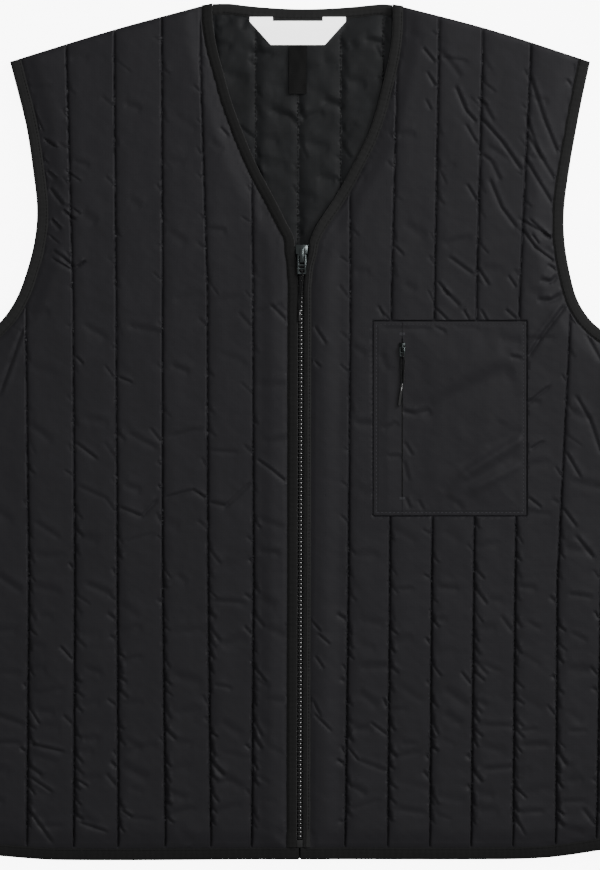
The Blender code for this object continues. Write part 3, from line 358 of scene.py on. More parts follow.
def tint(tree, shader, factor, dark, light):
    """Let a pattern move the colour a little between two tones."""
    mixed = add(tree, "ShaderNodeMix", {"Factor": factor}, data_type="RGBA")
    mixed.inputs[6].default_value = colour(dark)
    mixed.inputs[7].default_value = colour(light)
    tree.links.new(mixed.outputs[2], shader.inputs["Base Color"])


# %% [markdown]
# ## Materials
# The shell is a thin matte nylon. Its yarns are about 0.2 mm apart, too fine to draw, so the
# weave is drawn at 2.2 mm. Above it lie the small dents that thin cloth has over soft filling.
# Patterns made by nodes stay sharp however close the camera comes.

# %% Shell and lining nylon
WEAVE_PITCH = 2.2
DENT_LONG = 22.0
DENT_WIDE = 5.0


def woven_nylon(name, dark, light, base, roughness, dents, lean):
    """Thin woven cloth. dents is their depth in millimetres and lean the way that they run."""
    material, tree, shader = new_material(name, base, roughness)
    place = add(tree, "ShaderNodeTexCoord").outputs["Object"]
    tones = add(tree, "ShaderNodeTexNoise", {"Vector": place, "Scale": patches(60.0), "Detail": 3.0})
    hollows = add(tree, "ShaderNodeTexNoise",
                  {"Vector": place, "Scale": patches(DENT_LONG), "Detail": 2.0})
    turned = add(tree, "ShaderNodeMapping",
                 {"Vector": place, "Rotation": (0.0, 0.0, math.radians(lean))})
    drawn = add(tree, "ShaderNodeMapping",
                {"Vector": turned.outputs[0], "Scale": (patches(DENT_LONG), patches(DENT_WIDE), 1.0)})
    streaks = add(tree, "ShaderNodeTexNoise",
                  {"Vector": drawn.outputs[0], "Scale": 1.0, "Detail": 3.0})
    yarns = {"Vector": place, "Scale": ridges(WEAVE_PITCH)}
    warp = add(tree, "ShaderNodeTexWave", yarns, bands_direction="X").outputs["Fac"]
    weft = add(tree, "ShaderNodeTexWave", yarns, bands_direction="Y").outputs["Fac"]
    weave = add(tree, "ShaderNodeMath", {0: warp, 1: weft}, operation="MULTIPLY").outputs[0]
    tint(tree, shader, tones.outputs["Fac"], dark, light)
    shader.inputs["Sheen Weight"].default_value = 0.06
    shader.inputs["Sheen Roughness"].default_value = 0.5
    shader.inputs["Specular IOR Level"].default_value = 0.25
    bumps(tree, shader, [(hollows.outputs["Fac"], dents), (streaks.outputs["Fac"], dents * 0.1),
                         (weave, 0.02)])
    return material


SHELL = woven_nylon("shell nylon", "#18171b", "#1c1b1f", "#1a191d", 0.6, 1.0, 35.0)
LINING = woven_nylon("lining nylon", "#0c0d0e", "#111316", "#0e0f11", 0.6, 1.4, -20.0)
print("materials:", SHELL.name, LINING.name)

# %% [markdown]
# The binding is a fine rib knit, made in a flat tape. Its ribs run across the tape, so the
# pattern follows the tape's own length, which each swept mesh keeps as a texture map in metres.
# Real ribs are 1.5 mm apart and loops 0.9 mm. They, the weave of the zip tape, the plait of the
# cord and the twist of the thread are drawn about three times coarser, so that they show.

# %% Knitted binding, zip tape, cords and thread
COARSER = 3.14
RIB = (1.5 * COARSER, 0.9 * COARSER, 0.12)
WEAVE = (0.8 * COARSER, 0.8 * COARSER, 0.08)
PLAIT = (0.9 * COARSER, 0.5 * COARSER, 0.12)
TWIST = (0.3 * COARSER, 0.3 * COARSER, 0.02)


def knitted(name, dark, light, base, rib, loops, depth):
    """Knit or braid: the pitch of its ribs and of its loops, and their depth, in millimetres."""
    material, tree, shader = new_material(name, base, 0.9)
    along = add(tree, "ShaderNodeUVMap", uv_map="along").outputs["UV"]
    place = add(tree, "ShaderNodeTexCoord").outputs["Object"]
    tones = add(tree, "ShaderNodeTexNoise", {"Vector": place, "Scale": patches(25.0), "Detail": 3.0})
    fuzz = add(tree, "ShaderNodeTexNoise", {"Vector": place, "Scale": patches(6.0), "Detail": 3.0})
    ribs = add(tree, "ShaderNodeTexWave",
               {"Vector": along, "Scale": ridges(rib), "Distortion": 0.4}, bands_direction="X")
    rows = add(tree, "ShaderNodeTexWave",
               {"Vector": along, "Scale": ridges(loops), "Distortion": 0.6}, bands_direction="Y")
    tint(tree, shader, tones.outputs["Fac"], dark, light)
    shader.inputs["Sheen Weight"].default_value = 0.2
    shader.inputs["Sheen Roughness"].default_value = 0.4
    shader.inputs["Specular IOR Level"].default_value = 0.2
    bumps(tree, shader, [(fuzz.outputs["Fac"], 0.25), (ribs.outputs["Fac"], depth),
                         (rows.outputs["Fac"], depth * 0.5)])
    return material


KNIT = knitted("rib knit binding", "#1f1f1f", "#272727", "#232323", *RIB)
# Painted shade: the same knit drawn darker for the front binding on the wearer's right, the side away
# from the lamp.
KNIT_SHADED = knitted("rib knit binding with painted shade", "#151515", "#1b1b1b", "#181818", *RIB)
KNIT_DARK = knitted("rib knit hem binding", "#141414", "#1a1a1a", "#171717", *RIB)
TAPE = knitted("woven zip tape", "#101011", "#151516", "#121213", *WEAVE)
CORD = knitted("braided cord", "#101011", "#161617", "#131314", *PLAIT)
THREAD_PALE = knitted("pale topstitching thread", "#3a3a3d", "#444448", "#3e3e42", *TWIST)
# Black thread, partly its own colour and partly painted shade: it is drawn darker than the shell to
# deepen the dark line along each channel seam.
THREAD = knitted("sewing thread", "#0a0a0b", "#0f0f10", "#0c0c0d", *TWIST)
print("materials:", KNIT.name, TAPE.name, CORD.name)

# %% [markdown]
# The labels are satin: long floats of yarn that shine softly across one way. They are 0.5 mm
# apart and drawn coarser too. Both labels are left blank. The white one glows a little: painted
# light that makes it brighter than the lamps alone would. The zip teeth are moulded plastic, and
# the sliders are dark plated metal, with small worn patches in its roughness.

# %% Satin, plastic and metal
FLOAT_PITCH = 0.5 * COARSER
# Painted light: the white label glows, so that it looks brighter than the lamps make it.
LABEL_GLOW = 2.4


def satin(name, dark, light, base):
    """Label cloth with floats of yarn across it."""
    material, tree, shader = new_material(name, base, 0.55)
    shader.inputs["Specular IOR Level"].default_value = 0.15
    place = add(tree, "ShaderNodeTexCoord").outputs["Object"]
    tones = add(tree, "ShaderNodeTexNoise", {"Vector": place, "Scale": patches(12.0), "Detail": 3.0})
    folds = add(tree, "ShaderNodeTexNoise", {"Vector": place, "Scale": patches(9.0), "Detail": 3.0})
    floats = add(tree, "ShaderNodeTexWave",
                 {"Vector": place, "Scale": ridges(FLOAT_PITCH), "Distortion": 0.3},
                 bands_direction="Y")
    tint(tree, shader, tones.outputs["Fac"], dark, light)
    bumps(tree, shader, [(folds.outputs["Fac"], 0.2), (floats.outputs["Fac"], 0.02)])
    return material


def moulded(name, base, roughness, coat=1.0):
    """Plastic from a mould, with a glossy skin where coat is 1."""
    material, tree, shader = new_material(name, base, roughness, ior=1.55)
    shader.inputs["Coat Weight"].default_value = coat
    shader.inputs["Coat Roughness"].default_value = 0.08
    place = add(tree, "ShaderNodeTexCoord").outputs["Object"]
    skin = add(tree, "ShaderNodeTexNoise", {"Vector": place, "Scale": patches(0.8), "Detail": 3.0})
    bumps(tree, shader, [(skin.outputs["Fac"], 0.01)])
    return material


def plated(name, base, roughness):
    """Plated metal, rougher where it is worn."""
    material, tree, shader = new_material(name, base, roughness, metallic=1.0)
    place = add(tree, "ShaderNodeTexCoord").outputs["Object"]
    worn = add(tree, "ShaderNodeTexNoise", {"Vector": place, "Scale": patches(1.6), "Detail": 5.0})
    pits = add(tree, "ShaderNodeTexNoise", {"Vector": place, "Scale": patches(0.5), "Detail": 3.0})
    spread = add(tree, "ShaderNodeMapRange", {"Value": worn.outputs["Fac"],
                                              "To Min": roughness * 0.7, "To Max": roughness * 1.5})
    tree.links.new(spread.outputs[0], shader.inputs["Roughness"])
    bumps(tree, shader, [(pits.outputs["Fac"], 0.01)])
    return material


WHITE_SATIN = satin("white satin label", "#e2e2e4", "#efeff0", "#e9e9ea")
white_shader = WHITE_SATIN.node_tree.nodes["Principled BSDF"]
# The white label's painted glow.
white_shader.inputs["Emission Color"].default_value = (1.0, 1.0, 1.0, 1.0)
white_shader.inputs["Emission Strength"].default_value = LABEL_GLOW
BLACK_SATIN = satin("black satin tag", "#060606", "#090909", "#080808")
PLASTIC = moulded("moulded zip teeth", "#0c0c0d", 0.2)
COIL = moulded("matt nylon coil", "#060606", 0.7, 0.0)
GLOSSY = moulded("glossy cord end", "#0a0a0b", 0.12)
GUNMETAL = plated("gunmetal plating", "#464b4b", 0.2)
GUNMETAL_DARK = plated("dark gunmetal plating", "#262929", 0.22)
print("materials:", WHITE_SATIN.name, PLASTIC.name, GUNMETAL.name)

# %% [markdown]
# ## Lines of the pattern
# A smooth line runs through each table's points. Every edge of the vest is one of these lines,
# and so is the middle of each strip of binding.

# %% Lines and distances


def clamp(value):
    """The value held between 0 and 1."""
    return np.clip(value, 0.0, 1.0)


def ease(value):
    """A soft step from 0 to 1."""
    value = clamp(value)
    return value * value * (3 - 2 * value)


def mix(low, high, share):
    """low where share is 0 and high where it is 1."""
    return low + (high - low) * share


def smooth_line(points, step):
    """A smooth line through the points, with a point about every step."""
    knots = [Vector(p) for p in points]
    spans = [(b - a).length for a, b in zip(knots, knots[1:])]
    slopes = []
    for i in range(len(knots)):
        low, high = max(i - 1, 0), min(i + 1, len(knots) - 1)
        slopes.append((knots[high] - knots[low]) / sum(spans[low:high]))
    line = [knots[0]]
    for i, span in enumerate(spans):
        count = max(1, math.ceil(span / step))
        for k in range(1, count + 1):
            t = k / count
            start = knots[i] * (2 * t**3 - 3 * t**2 + 1) + slopes[i] * span * (t**3 - 2 * t**2 + t)
            end = knots[i + 1] * (3 * t**2 - 2 * t**3) + slopes[i + 1] * span * (t**3 - t**2)
            line.append(start + end)
    return line


def left_of(a, b):
    """The unit vector to the left of the way from a to b."""
    way = (b - a).normalized()
    return Vector((-way.y, way.x))


def inset(line, gap, start=None, end=None):
    """The line moved to its left. start and end are the ways that its ends are cut."""
    moved = []
    last = len(line) - 1
    for i, point in enumerate(line):
        before = left_of(line[max(i - 1, 0)], line[max(i, 1)])
        after = left_of(line[min(i, last - 1)], line[min(i + 1, last)])
        move = (before + after) / (1 + before.dot(after))
        if i == 0 and start is not None:
            move = start / after.dot(start)
        if i == last and end is not None:
            move = end / before.dot(end)
        moved.append(point + move * gap)
    return moved


def distance(lines, spots):
    """How far each spot is from the nearest of some lines."""
    best = np.full(len(spots), 1e12)
    for line in lines:
        ends = np.array([tuple(p) for p in line])
        for a, b in zip(ends, ends[1:]):
            way = b - a
            size = way @ way
            if size == 0.0:
                continue
            share = clamp((spots - a) @ way / size)
            off = spots - a - share[:, None] * way
            best = np.minimum(best, (off * off).sum(1))
    return np.sqrt(best)


def inside(outline, spots):
    """Which spots an outline holds."""
    found = np.zeros(len(spots), bool)
    x, y = spots[:, 0], spots[:, 1]
    for a, b in zip(outline, outline[1:] + outline[:1]):
        if a.y != b.y:
            found ^= ((a.y > y) != (b.y > y)) & (x < a.x + (y - a.y) * (b.x - a.x) / (b.y - a.y))
    return found


# %% The vest's edges
ZIP_POINTS = 60
Run = namedtuple("Run", "points width cut")
DOWN = Vector((0.0, -1.0))


def zip_x(y):
    """The middle of the front zip at a height."""
    share = clamp((ZIP_TOP_Y - y) / (ZIP_TOP_Y - ZIP_END_Y))
    return mix(ZIP_TOP_X, ZIP_HEM_X, share)


def armhole_line(side, step=6.0):
    """An armhole edge from the shoulder tip down. side is -1 on the wearer's right."""
    places = [Vector((-level.right if side < 0 else level.left, level.y)) for level in ARMHOLE]
    return smooth_line(places, step)


def front_edge(side):
    """A front's free edge, from the neck corner down the V and the zip to the hem."""
    line = smooth_line(NECK_RIGHT if side < 0 else NECK_LEFT, 4.0)
    low_y = line[-1].y
    for k in range(1, ZIP_POINTS + 1):
        y = mix(low_y, HEM_Y, k / ZIP_POINTS)
        line.append(Vector((float(zip_x(y)) + side * FRONT_EDGE, y)))
    return line


def hem_line(low_x, high_x):
    """The hem between two x values, from the wearer's right to left."""
    whole = smooth_line(HEM, 6.0)
    heights_at = np.array([(p.x, p.y) for p in whole])
    places = [low_x] + [p.x for p in whole if low_x + 2 < p.x < high_x - 2] + [high_x]
    return [Vector((x, float(np.interp(x, heights_at[:, 0], heights_at[:, 1])))) for x in places]


def side_line(side):
    """A side seam, from the underarm to the hem corner."""
    return smooth_line([armhole_line(side)[-1], Vector(HEM[0] if side < 0 else HEM[-1])], 6.0)


def shoulder_line(side):
    """A shoulder seam, from the neck corner to the tip."""
    neck = Vector(NECK_RIGHT[0] if side < 0 else NECK_LEFT[0])
    return smooth_line([neck, Vector(SHOULDER_MIDDLE[side]), armhole_line(side)[0]], 6.0)


def left_edge_width(y):
    """The front binding is wide round the V and narrow beside the zip."""
    return mix(BIND_ZIP, BIND_NECK, ease((y - 120.0) / 60.0))


def right_edge_width(y):
    """On the wearer's right it is folded less tightly and stays wide beside the zip."""
    return mix(BIND_ZIP_RIGHT, BIND_NECK, ease((y - 120.0) / 60.0))


EDGE_WIDTHS = {-1: right_edge_width, 1: left_edge_width}


def constant(value):
    """A width that is the same at every height."""
    return lambda y: value + 0.0 * y


def front_runs(side):
    """The edges of a front, with the cloth on their left. width is None where it is sewn."""
    edge = front_edge(side)
    arm, sewn, top = armhole_line(side), side_line(side), shoulder_line(side)
    if side < 0:
        hem = hem_line(-HALF_WIDTH, edge[-1].x)
        lines = (hem[:-1] + edge[::-1], top, arm, sewn)
    else:
        hem = hem_line(edge[-1].x, HALF_WIDTH)
        lines = (edge + hem[1:], sewn[::-1], arm[::-1], top[::-1])
    widths = (EDGE_WIDTHS[side], None, constant(BIND_ARM), None)
    return [Run(line, width, None) for line, width in zip(lines, widths)]


def back_runs():
    """The edges of the back, hem first, with the cloth on their left."""
    return [
        Run(hem_line(-HALF_WIDTH, HALF_WIDTH), constant(BIND_HEM), None),
        Run(side_line(1)[::-1], None, None),
        Run(armhole_line(1)[::-1], constant(BIND_ARM), None),
        Run(shoulder_line(1)[::-1], None, None),
        Run(smooth_line(BACK_NECK, 6.0), constant(BIND_NECK_BACK), DOWN),
        Run(shoulder_line(-1), None, None),
        Run(armhole_line(-1), constant(BIND_ARM), None),
        Run(side_line(-1), None, None),
    ]


print("front edge points:", len(front_edge(1)))

# %% [markdown]
# ## The relief of quilted cloth
# Between two seams the filling lifts the cloth into a low crown. The thread pulls a narrow
# groove. Because sewing shortens the cloth along each seam, short puckers stand beside it,
# more of them towards the hem, most of them leaning down to the wearer's left.

# %% Channels, puckers and folds
RIDGE_HEIGHT = 0.45
RIDGE_OFF = 1.6
RIDGE_WIDE = 1.3
FOLD_ACROSS = (-1.2, -0.5, 0.1, 0.8, 1.7, 2.8)
PUCKER_LOW = -322.0
CREASE_LOW = -328.0


def seam_x(seam, y):
    """Where a seam lies at a height."""
    return np.interp(y, SEAM_HEIGHTS[::-1], seam[::-1])


def from_seam(seams, spots):
    """How far each spot is from the nearest seam, and on which side."""
    offs = np.array([spots[:, 0] - seam_x(seam, spots[:, 1]) for seam in seams])
    nearest = np.abs(offs).argmin(0)
    return offs[nearest, np.arange(len(spots))]


def soft_noise(spots, wide, high, seed):
    """Smooth random values from about -1 to 1, in patches of the given width and height."""
    return np.array([noise.noise(Vector((x / wide, y / high, seed))) for x, y in spots])


def fold_relief(folds, spots):
    """How far the folds press each spot down, with a low ridge on one side of each."""
    total = np.zeros(len(spots))
    for fold in folds:
        start, end = np.array((fold.x0, fold.y0)), np.array((fold.x1, fold.y1))
        length = np.linalg.norm(end - start)
        way = (end - start) / length
        rel = spots - start
        along = rel @ way / length
        across = (rel[:, 1] * way[0] - rel[:, 0] * way[1]) / fold.width
        near = (along > -0.3) & (along < 1.3) & (np.abs(across) < 4)
        ridge = RIDGE_HEIGHT * np.exp(-((across[near] - RIDGE_OFF) / RIDGE_WIDE) ** 2)
        shape = np.exp(-across[near] ** 2) - ridge
        total[near] += fold.depth * shape * ease((1.25 - np.abs(2 * along[near] - 1)) * 2)
    return total


def pressed(folds):
    """Creases of thin cloth, drawn twice as sharp as the table gives them."""
    return [fold._replace(width=fold.width * 0.45, depth=fold.depth * 0.95) for fold in folds]


def softened(folds):
    """Creases of loosely filled cloth: wider and less deep."""
    return [fold._replace(width=fold.width * 1.3, depth=fold.depth * 0.7) for fold in folds]


def fold_spots(folds):
    """Places along each fold and beside it, close enough to show its valley."""
    found = []
    for fold in folds:
        start, way = Vector((fold.x0, fold.y0)), Vector((fold.x1 - fold.x0, fold.y1 - fold.y0))
        across = Vector((-way.y, way.x)).normalized() * fold.width
        count = max(3, round(way.length / 1.4))
        for k in range(-1, count + 2):
            found += [tuple(start + way * (k / count) + across * off) for off in FOLD_ACROSS]
    return found


def thinned(spots, gap):
    """Keep one spot in each small square, the first of them."""
    _, first = np.unique(np.floor(spots / gap).astype(int), axis=0, return_index=True)
    return spots[np.sort(first)]


def puckers(seams, low_y, high_y, seed, busy):
    """Short folds that start at the seams. busy gives 0 for calm heights and 1 for crowded ones."""
    dice = random.Random(seed)
    made = []
    for seam in seams:
        y = low_y
        while y < high_y:
            crowd = float(busy(y))
            y += dice.uniform(7.0, 16.0) / mix(0.4, 1.0, crowd)
            side = 1 if dice.random() < mix(0.35, 0.85, crowd) else -1
            length = dice.uniform(3.5, 9.0) * (1.0 if dice.random() < 0.8 else 1.8)
            lean = math.radians(dice.uniform(32.0, 68.0))
            strength = dice.uniform(0.4, 1.0) * mix(0.45, 1.35, crowd)
            x = float(seam_x(seam, y)) + side * 1.0
            far_x, far_y = x + side * length * math.cos(lean), y - side * length * math.sin(lean)
            ends = (x, y, far_x, far_y) if side > 0 else (far_x, far_y, x, y)
            made.append(Fold(*ends, strength, dice.uniform(1.0, 1.7)))
            if side > 0:
                wedge = dice.uniform(3.5, 7.0)
                made.append(Fold(x, y + wedge, x + 1.6, y - 1.0, strength * 0.9, 1.5))
    return made


def soft_creases(seams, low_y, high_y, seed):
    """Broad shallow creases across the channels, more of them towards the hem."""
    dice = random.Random(seed)
    made = []
    for seam in seams:
        y = low_y
        while y < high_y:
            y += dice.uniform(9.0, 26.0) * mix(4.0, 1.0, float(front_busy(y)))
            x = float(seam_x(seam, y)) + dice.uniform(1.0, 12.0)
            lean = math.radians(dice.uniform(-20.0, 40.0))
            length = dice.uniform(10.0, 26.0)
            made.append(Fold(x, y, x + length * math.cos(lean), y - length * math.sin(lean),
                             dice.uniform(0.25, 0.7), dice.uniform(1.8, 4.2)))
    return made


def front_busy(y):
    """Puckers are rare at the chest and close together near the hem."""
    return 1.0 - ease((y + 290.0) / 330.0)


def lining_busy(_y):
    """The lining is puckered evenly."""
    return 0.5


def front_base(spots):
    """The underside of the fronts, which lifts over the zip tape."""
    off = np.abs(spots[:, 0] - zip_x(spots[:, 1]))
    return FRONT_BASE + ZIP_LIFT * clamp((LIFT_END - off) / (LIFT_END - LIFT_FLAT))


def back_base(spots):
    """The back lies on the table."""
    return np.zeros(len(spots))


def pocket_press(spots):
    """1 where the pocket holds the quilting flat, and 0 away from it."""
    x, y = spots[:, 0], spots[:, 1]
    off_x = np.maximum(np.maximum(POCKET_LEFT - x, x - POCKET_RIGHT), 0.0)
    off_y = np.maximum(np.maximum(POCKET_LOW - y, y - POCKET_TOP), 0.0)
    return 1 - ease((np.hypot(off_x, off_y) - 0.1) / 1.3)


def pocket_rings():
    """Spots round the pocket, where the quilting comes up again."""
    spots = []
    for gap in (0.1, 0.75, 1.4):
        low_x, high_x = POCKET_LEFT - gap, POCKET_RIGHT + gap
        low_y, high_y = POCKET_LOW - gap, POCKET_TOP + gap
        for x in np.arange(low_x, high_x + 0.1, 1.5):
            spots += [(x, low_y), (x, high_y)]
        for y in np.arange(low_y + 1.5, high_y - 0.8, 1.5):
            spots += [(low_x, y), (high_x, y)]
    return spots


# Depths and shares given twice run from high on a front to its hem
FLAP_CLEAR = 0.6
HEM_TURN = 14.0
CROWN_SINK = (0.38, 0.8)
LEFT_SINK = 0.1
GROOVE_DEEP = (1.4, 2.6)
GROOVE_SOFT = (1.7, 1.35)
GROOVE_STEEP = 0.45
LINING_GROOVE = 0.6
LINING_SOFT = 3.4
UNDER_GROOVE = 0.7
UNDER_SOFT = 1.6
BESIDE_SEAM = (0.0, 0.5, 1.0, 1.7, 2.7, 4.2, 6.2)
MIDDLE_FROM = 8.2
CHANNEL_WIDE = 36.0
SPOT_GAP = 0.7
EDGE_CLEAR = 0.9


class Panel:
    """One quilted wall of the garment: its edges, its seams and its two faces."""

    def __init__(self, runs, seams, base, folds, is_front, seed):
        """runs are its edges in order; seed starts the unevenness of its filling."""
        self.runs, self.seams, self.base = runs, seams, base
        self.folds, self.is_front, self.seed = folds, is_front, seed
        self.sewn = [run.points for run in runs if run.width is None]
        self.outline = []
        for i, run in enumerate(runs):
            self.outline += self.cut_run(i, EDGE_INSET) if run.width else run.points[1:-1]

    def cut_run(self, index, gap):
        """A bound run moved in, with its ends cut along the seam edges beside it."""
        run = self.runs[index]
        before, after = self.runs[index - 1].points, self.runs[(index + 1) % len(self.runs)].points
        start = run.cut or (before[-2] - before[-1]).normalized()
        end = run.cut or (after[1] - after[0]).normalized()
        return inset(run.points, gap, start, end)

    def margin(self, spots):
        """How far each spot is inside the flap of the nearest binding."""
        best = np.full(len(spots), 1e9)
        for run in self.runs:
            if run.width is None:
                continue
            width = run.width(spots[:, 1])
            if run.width in EDGE_WIDTHS.values():
                width = np.where(spots[:, 1] < HEM_Y + HEM_TURN, BIND_HEM, width)
                hem = [p for p in run.points if p.y < HEM_Y + HEM_TURN + 2.0]
                best = np.minimum(best, distance([hem], spots) - BIND_HEM)
            best = np.minimum(best, distance([run.points], spots) - width)
        return best - FLAP_CLEAR

    def top(self, spots):
        """The upper face: crowned channels, seams and folds, flat under the pocket."""
        margin, side = self.margin(spots), distance(self.sewn, spots)
        off = from_seam(self.seams, spots)
        low = ease((60.0 - spots[:, 1]) / 300.0) if self.is_front else 0.5
        spread = np.where(off > 0, SEAM_SPREAD, 0.6 * SEAM_SPREAD)
        crown = 1 - (1 - clamp(np.abs(off) / spread)) ** 2.2
        uneven = soft_noise(spots, 26.0, 48.0, self.seed)
        sink = mix(*CROWN_SINK, low) * np.where(off > 0, 1.0, LEFT_SINK)
        swell = 0.4 * uneven
        if not self.is_front:
            swell = 0.75 * uneven + 0.55 * soft_noise(spots, 11.0, 9.0, 5.5)
        full = CROWN_THICK + swell - (CROWN_THICK - SEAM_THICK) * sink * (1 - crown)
        sewn_thick = SIDE_THICK if self.is_front else CROWN_THICK - 0.1
        full = mix(sewn_thick, full, ease(side / SIDE_BLEND))
        step_up = BAND_THICK + FLAP_STEP * ease((margin + 0.5) / 1.2)
        full = mix(step_up, full, ease(margin / SOFT_RISE))
        full -= self.seam_groove(spots, off, low) * ease((margin + 0.4) / 1.6) * ease(side / 2.0)
        held = clamp((full - 1.2) / 1.5) * ease((margin + 0.4) / 2.0)
        full -= fold_relief(self.folds, spots) * held
        if self.seams is SEAMS[1]:
            full = mix(full, POCKET_SEAT, pocket_press(spots))
        return self.base(spots) + full

    def seam_groove(self, spots, off, low):
        """How far the thread pulls the cloth down: steeply to the left and softly to the right."""
        if not self.is_front:
            return LINING_GROOVE * np.exp(-(off / LINING_SOFT) ** 2)
        ragged = 1 + 0.35 * soft_noise(spots, 200.0, 5.0, self.seed + 3.0)
        wide = np.where(off > 0, STITCH_WIDE * ragged * mix(*GROOVE_SOFT, low), GROOVE_STEEP)
        return mix(*GROOVE_DEEP, low) * np.exp(-(off / wide) ** 2)

    def bottom(self, spots):
        """The underside: raised inside the bindings and rounded along the back's side seams."""
        margin = self.margin(spots)
        raised = EDGE_INSET * (1 - clamp(margin / 4.0))
        if not self.is_front:
            side = distance(self.sewn, spots)
            raised += SIDE_ROUND * (1 - ease(side / 10.0)) * ease((margin - 2.0) / BAND_RISE)
            groove = np.exp(-(from_seam(self.seams, spots) / UNDER_SOFT) ** 2)
            raised += UNDER_GROOVE * groove * ease(margin / 6.0)
        return self.base(spots) + raised

    def columns(self, low, high, fine):
        """Places across one channel, closer together beside its seams."""
        count = max(1, round((high - low - 2 * MIDDLE_FROM) / fine))
        first, last = low + MIDDLE_FROM, high - MIDDLE_FROM
        places = [low + off for off in BESIDE_SEAM]
        places += [mix(first, last, k / count) for k in range(count + 1)]
        return places + [high - off for off in BESIDE_SEAM[:0:-1]]

    def spots(self, row_step, fine):
        """Rows of spots across the channels, inside the outline."""
        found = []
        rows = math.floor((cad_high.y - cad_low.y) / MM / row_step)
        for row in range(1, rows + 1):
            y = HEM_Y + row * row_step
            lines = sorted(float(seam_x(seam, y)) for seam in self.seams)
            lines = [lines[0] - CHANNEL_WIDE] + lines + [lines[-1] + CHANNEL_WIDE]
            found += [(x, y) for a, b in zip(lines, lines[1:]) for x in self.columns(a, b, fine)]
        if fine < 5.0:
            extra = pocket_rings() if self.seams is SEAMS[1] else []
            found = extra + fold_spots(self.folds) + found
        found = thinned(np.array(found), SPOT_GAP)
        found = found[inside(self.outline, found)]
        return found[distance([self.outline + self.outline[:1]], found) > EDGE_CLEAR]


# %% [markdown]
# ## Turning outlines into walls
# A wall is closed: a fine upper face, a plain lower face, and a thin rim between them. Both
# faces fill the same outline, so their edges meet point for point.

# %% Mesh builders
Stitch = namedtuple("Stitch", "pitch length radius lift")
STITCH_SHAPE = ((-0.5, 0.35), (-0.3, 1.0), (0.3, 1.0), (0.5, 0.35))
STITCH_SIDES = ((-1, 0), (0, 1), (1, 0), (0, -1))


def triangulate(outline, spots):
    """Places and triangles that fill an outline and pass through the spots."""
    count = len(outline)
    edges = [(i, (i + 1) % count) for i in range(count)]
    places = list(outline) + [Vector(p) for p in spots]
    places, _, faces, *_ = delaunay_2d_cdt(places, edges, [list(range(count))], 1, 1e-6)
    turned = []
    for face in faces:
        a, b, c = (places[i] for i in face)
        turned.append(tuple(face) if (b - a).cross(c - a) > 0 else tuple(face)[::-1])
    return np.array([tuple(p) for p in places]), turned


def new_piece(name, verts, faces, finish, body, replaced=()):
    """A smooth mesh from places in millimetres, riding on a body and standing for CAD nodes."""
    mesh = bpy.data.meshes.new(name)
    mesh.from_pydata((np.asarray(verts) * MM).tolist(), [], faces)
    mesh.shade_smooth()
    mesh.set_sharp_from_angle(angle=math.radians(50.0))
    mesh.materials.append(finish)
    piece = bpy.data.objects.new(name, mesh)
    bpy.context.scene.collection.objects.link(piece)
    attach(piece, body)
    if replaced:
        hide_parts(*replaced)
    return piece


def wall(name, outline, top_spots, low_spots, top, bottom, finish, replaced):
    """A closed cloth wall between a lower and an upper surface over one outline."""
    verts, faces = [], []
    rims = []
    for spots, height, up in ((top_spots, top, True), (low_spots, bottom, False)):
        places, found = triangulate(outline, spots)
        start = len(verts)
        verts += np.column_stack((places, height(places))).tolist()
        faces += [tuple(start + i for i in (face if up else face[::-1])) for face in found]
        rims.append(start)
    upper, lower = rims
    count = len(outline)
    for i in range(count):
        j = (i + 1) % count
        faces.append((lower + i, lower + j, upper + j, upper + i))
    return new_piece(name, verts, faces, finish, "vest", replaced)


def sweep(name, rings, finish, body, replaced=()):
    """A closed skin through rings of equal point counts, with a texture map along it in metres."""
    count = len(rings[0])
    verts = np.array([p for ring in rings for p in ring])
    faces = []
    for i in range(len(rings) - 1):
        for k in range(count):
            m = (k + 1) % count
            faces.append((i * count + k, i * count + m, (i + 1) * count + m, (i + 1) * count + k))
    faces.append(tuple(range(count))[::-1])
    faces.append(tuple(range(len(verts) - count, len(verts))))
    piece = new_piece(name, verts, faces, finish, body, replaced)
    edit = bmesh.new()
    edit.from_mesh(piece.data)
    bmesh.ops.recalc_face_normals(edit, faces=edit.faces)
    centres = [np.mean(ring, axis=0) for ring in rings]
    steps = [np.linalg.norm(b - a) for a, b in zip(centres, centres[1:])]
    run = np.concatenate(([0.0], np.cumsum(steps)))
    round_it = [0.0]
    for a, b in zip(rings[0], rings[0][1:]):
        round_it.append(round_it[-1] + float(np.linalg.norm(np.array(b) - np.array(a))))
    layer = edit.loops.layers.uv.new("along")
    for face in edit.faces:
        wraps = {loop.vert.index % count for loop in face.loops} == {0, count - 1}
        for loop in face.loops:
            ring, k = divmod(loop.vert.index, count)
            across = round_it[-1] + 1.0 if wraps and k == 0 else round_it[k]
            loop[layer].uv = (run[ring] * MM, across * MM)
    edit.to_mesh(piece.data)
    edit.free()
    return piece


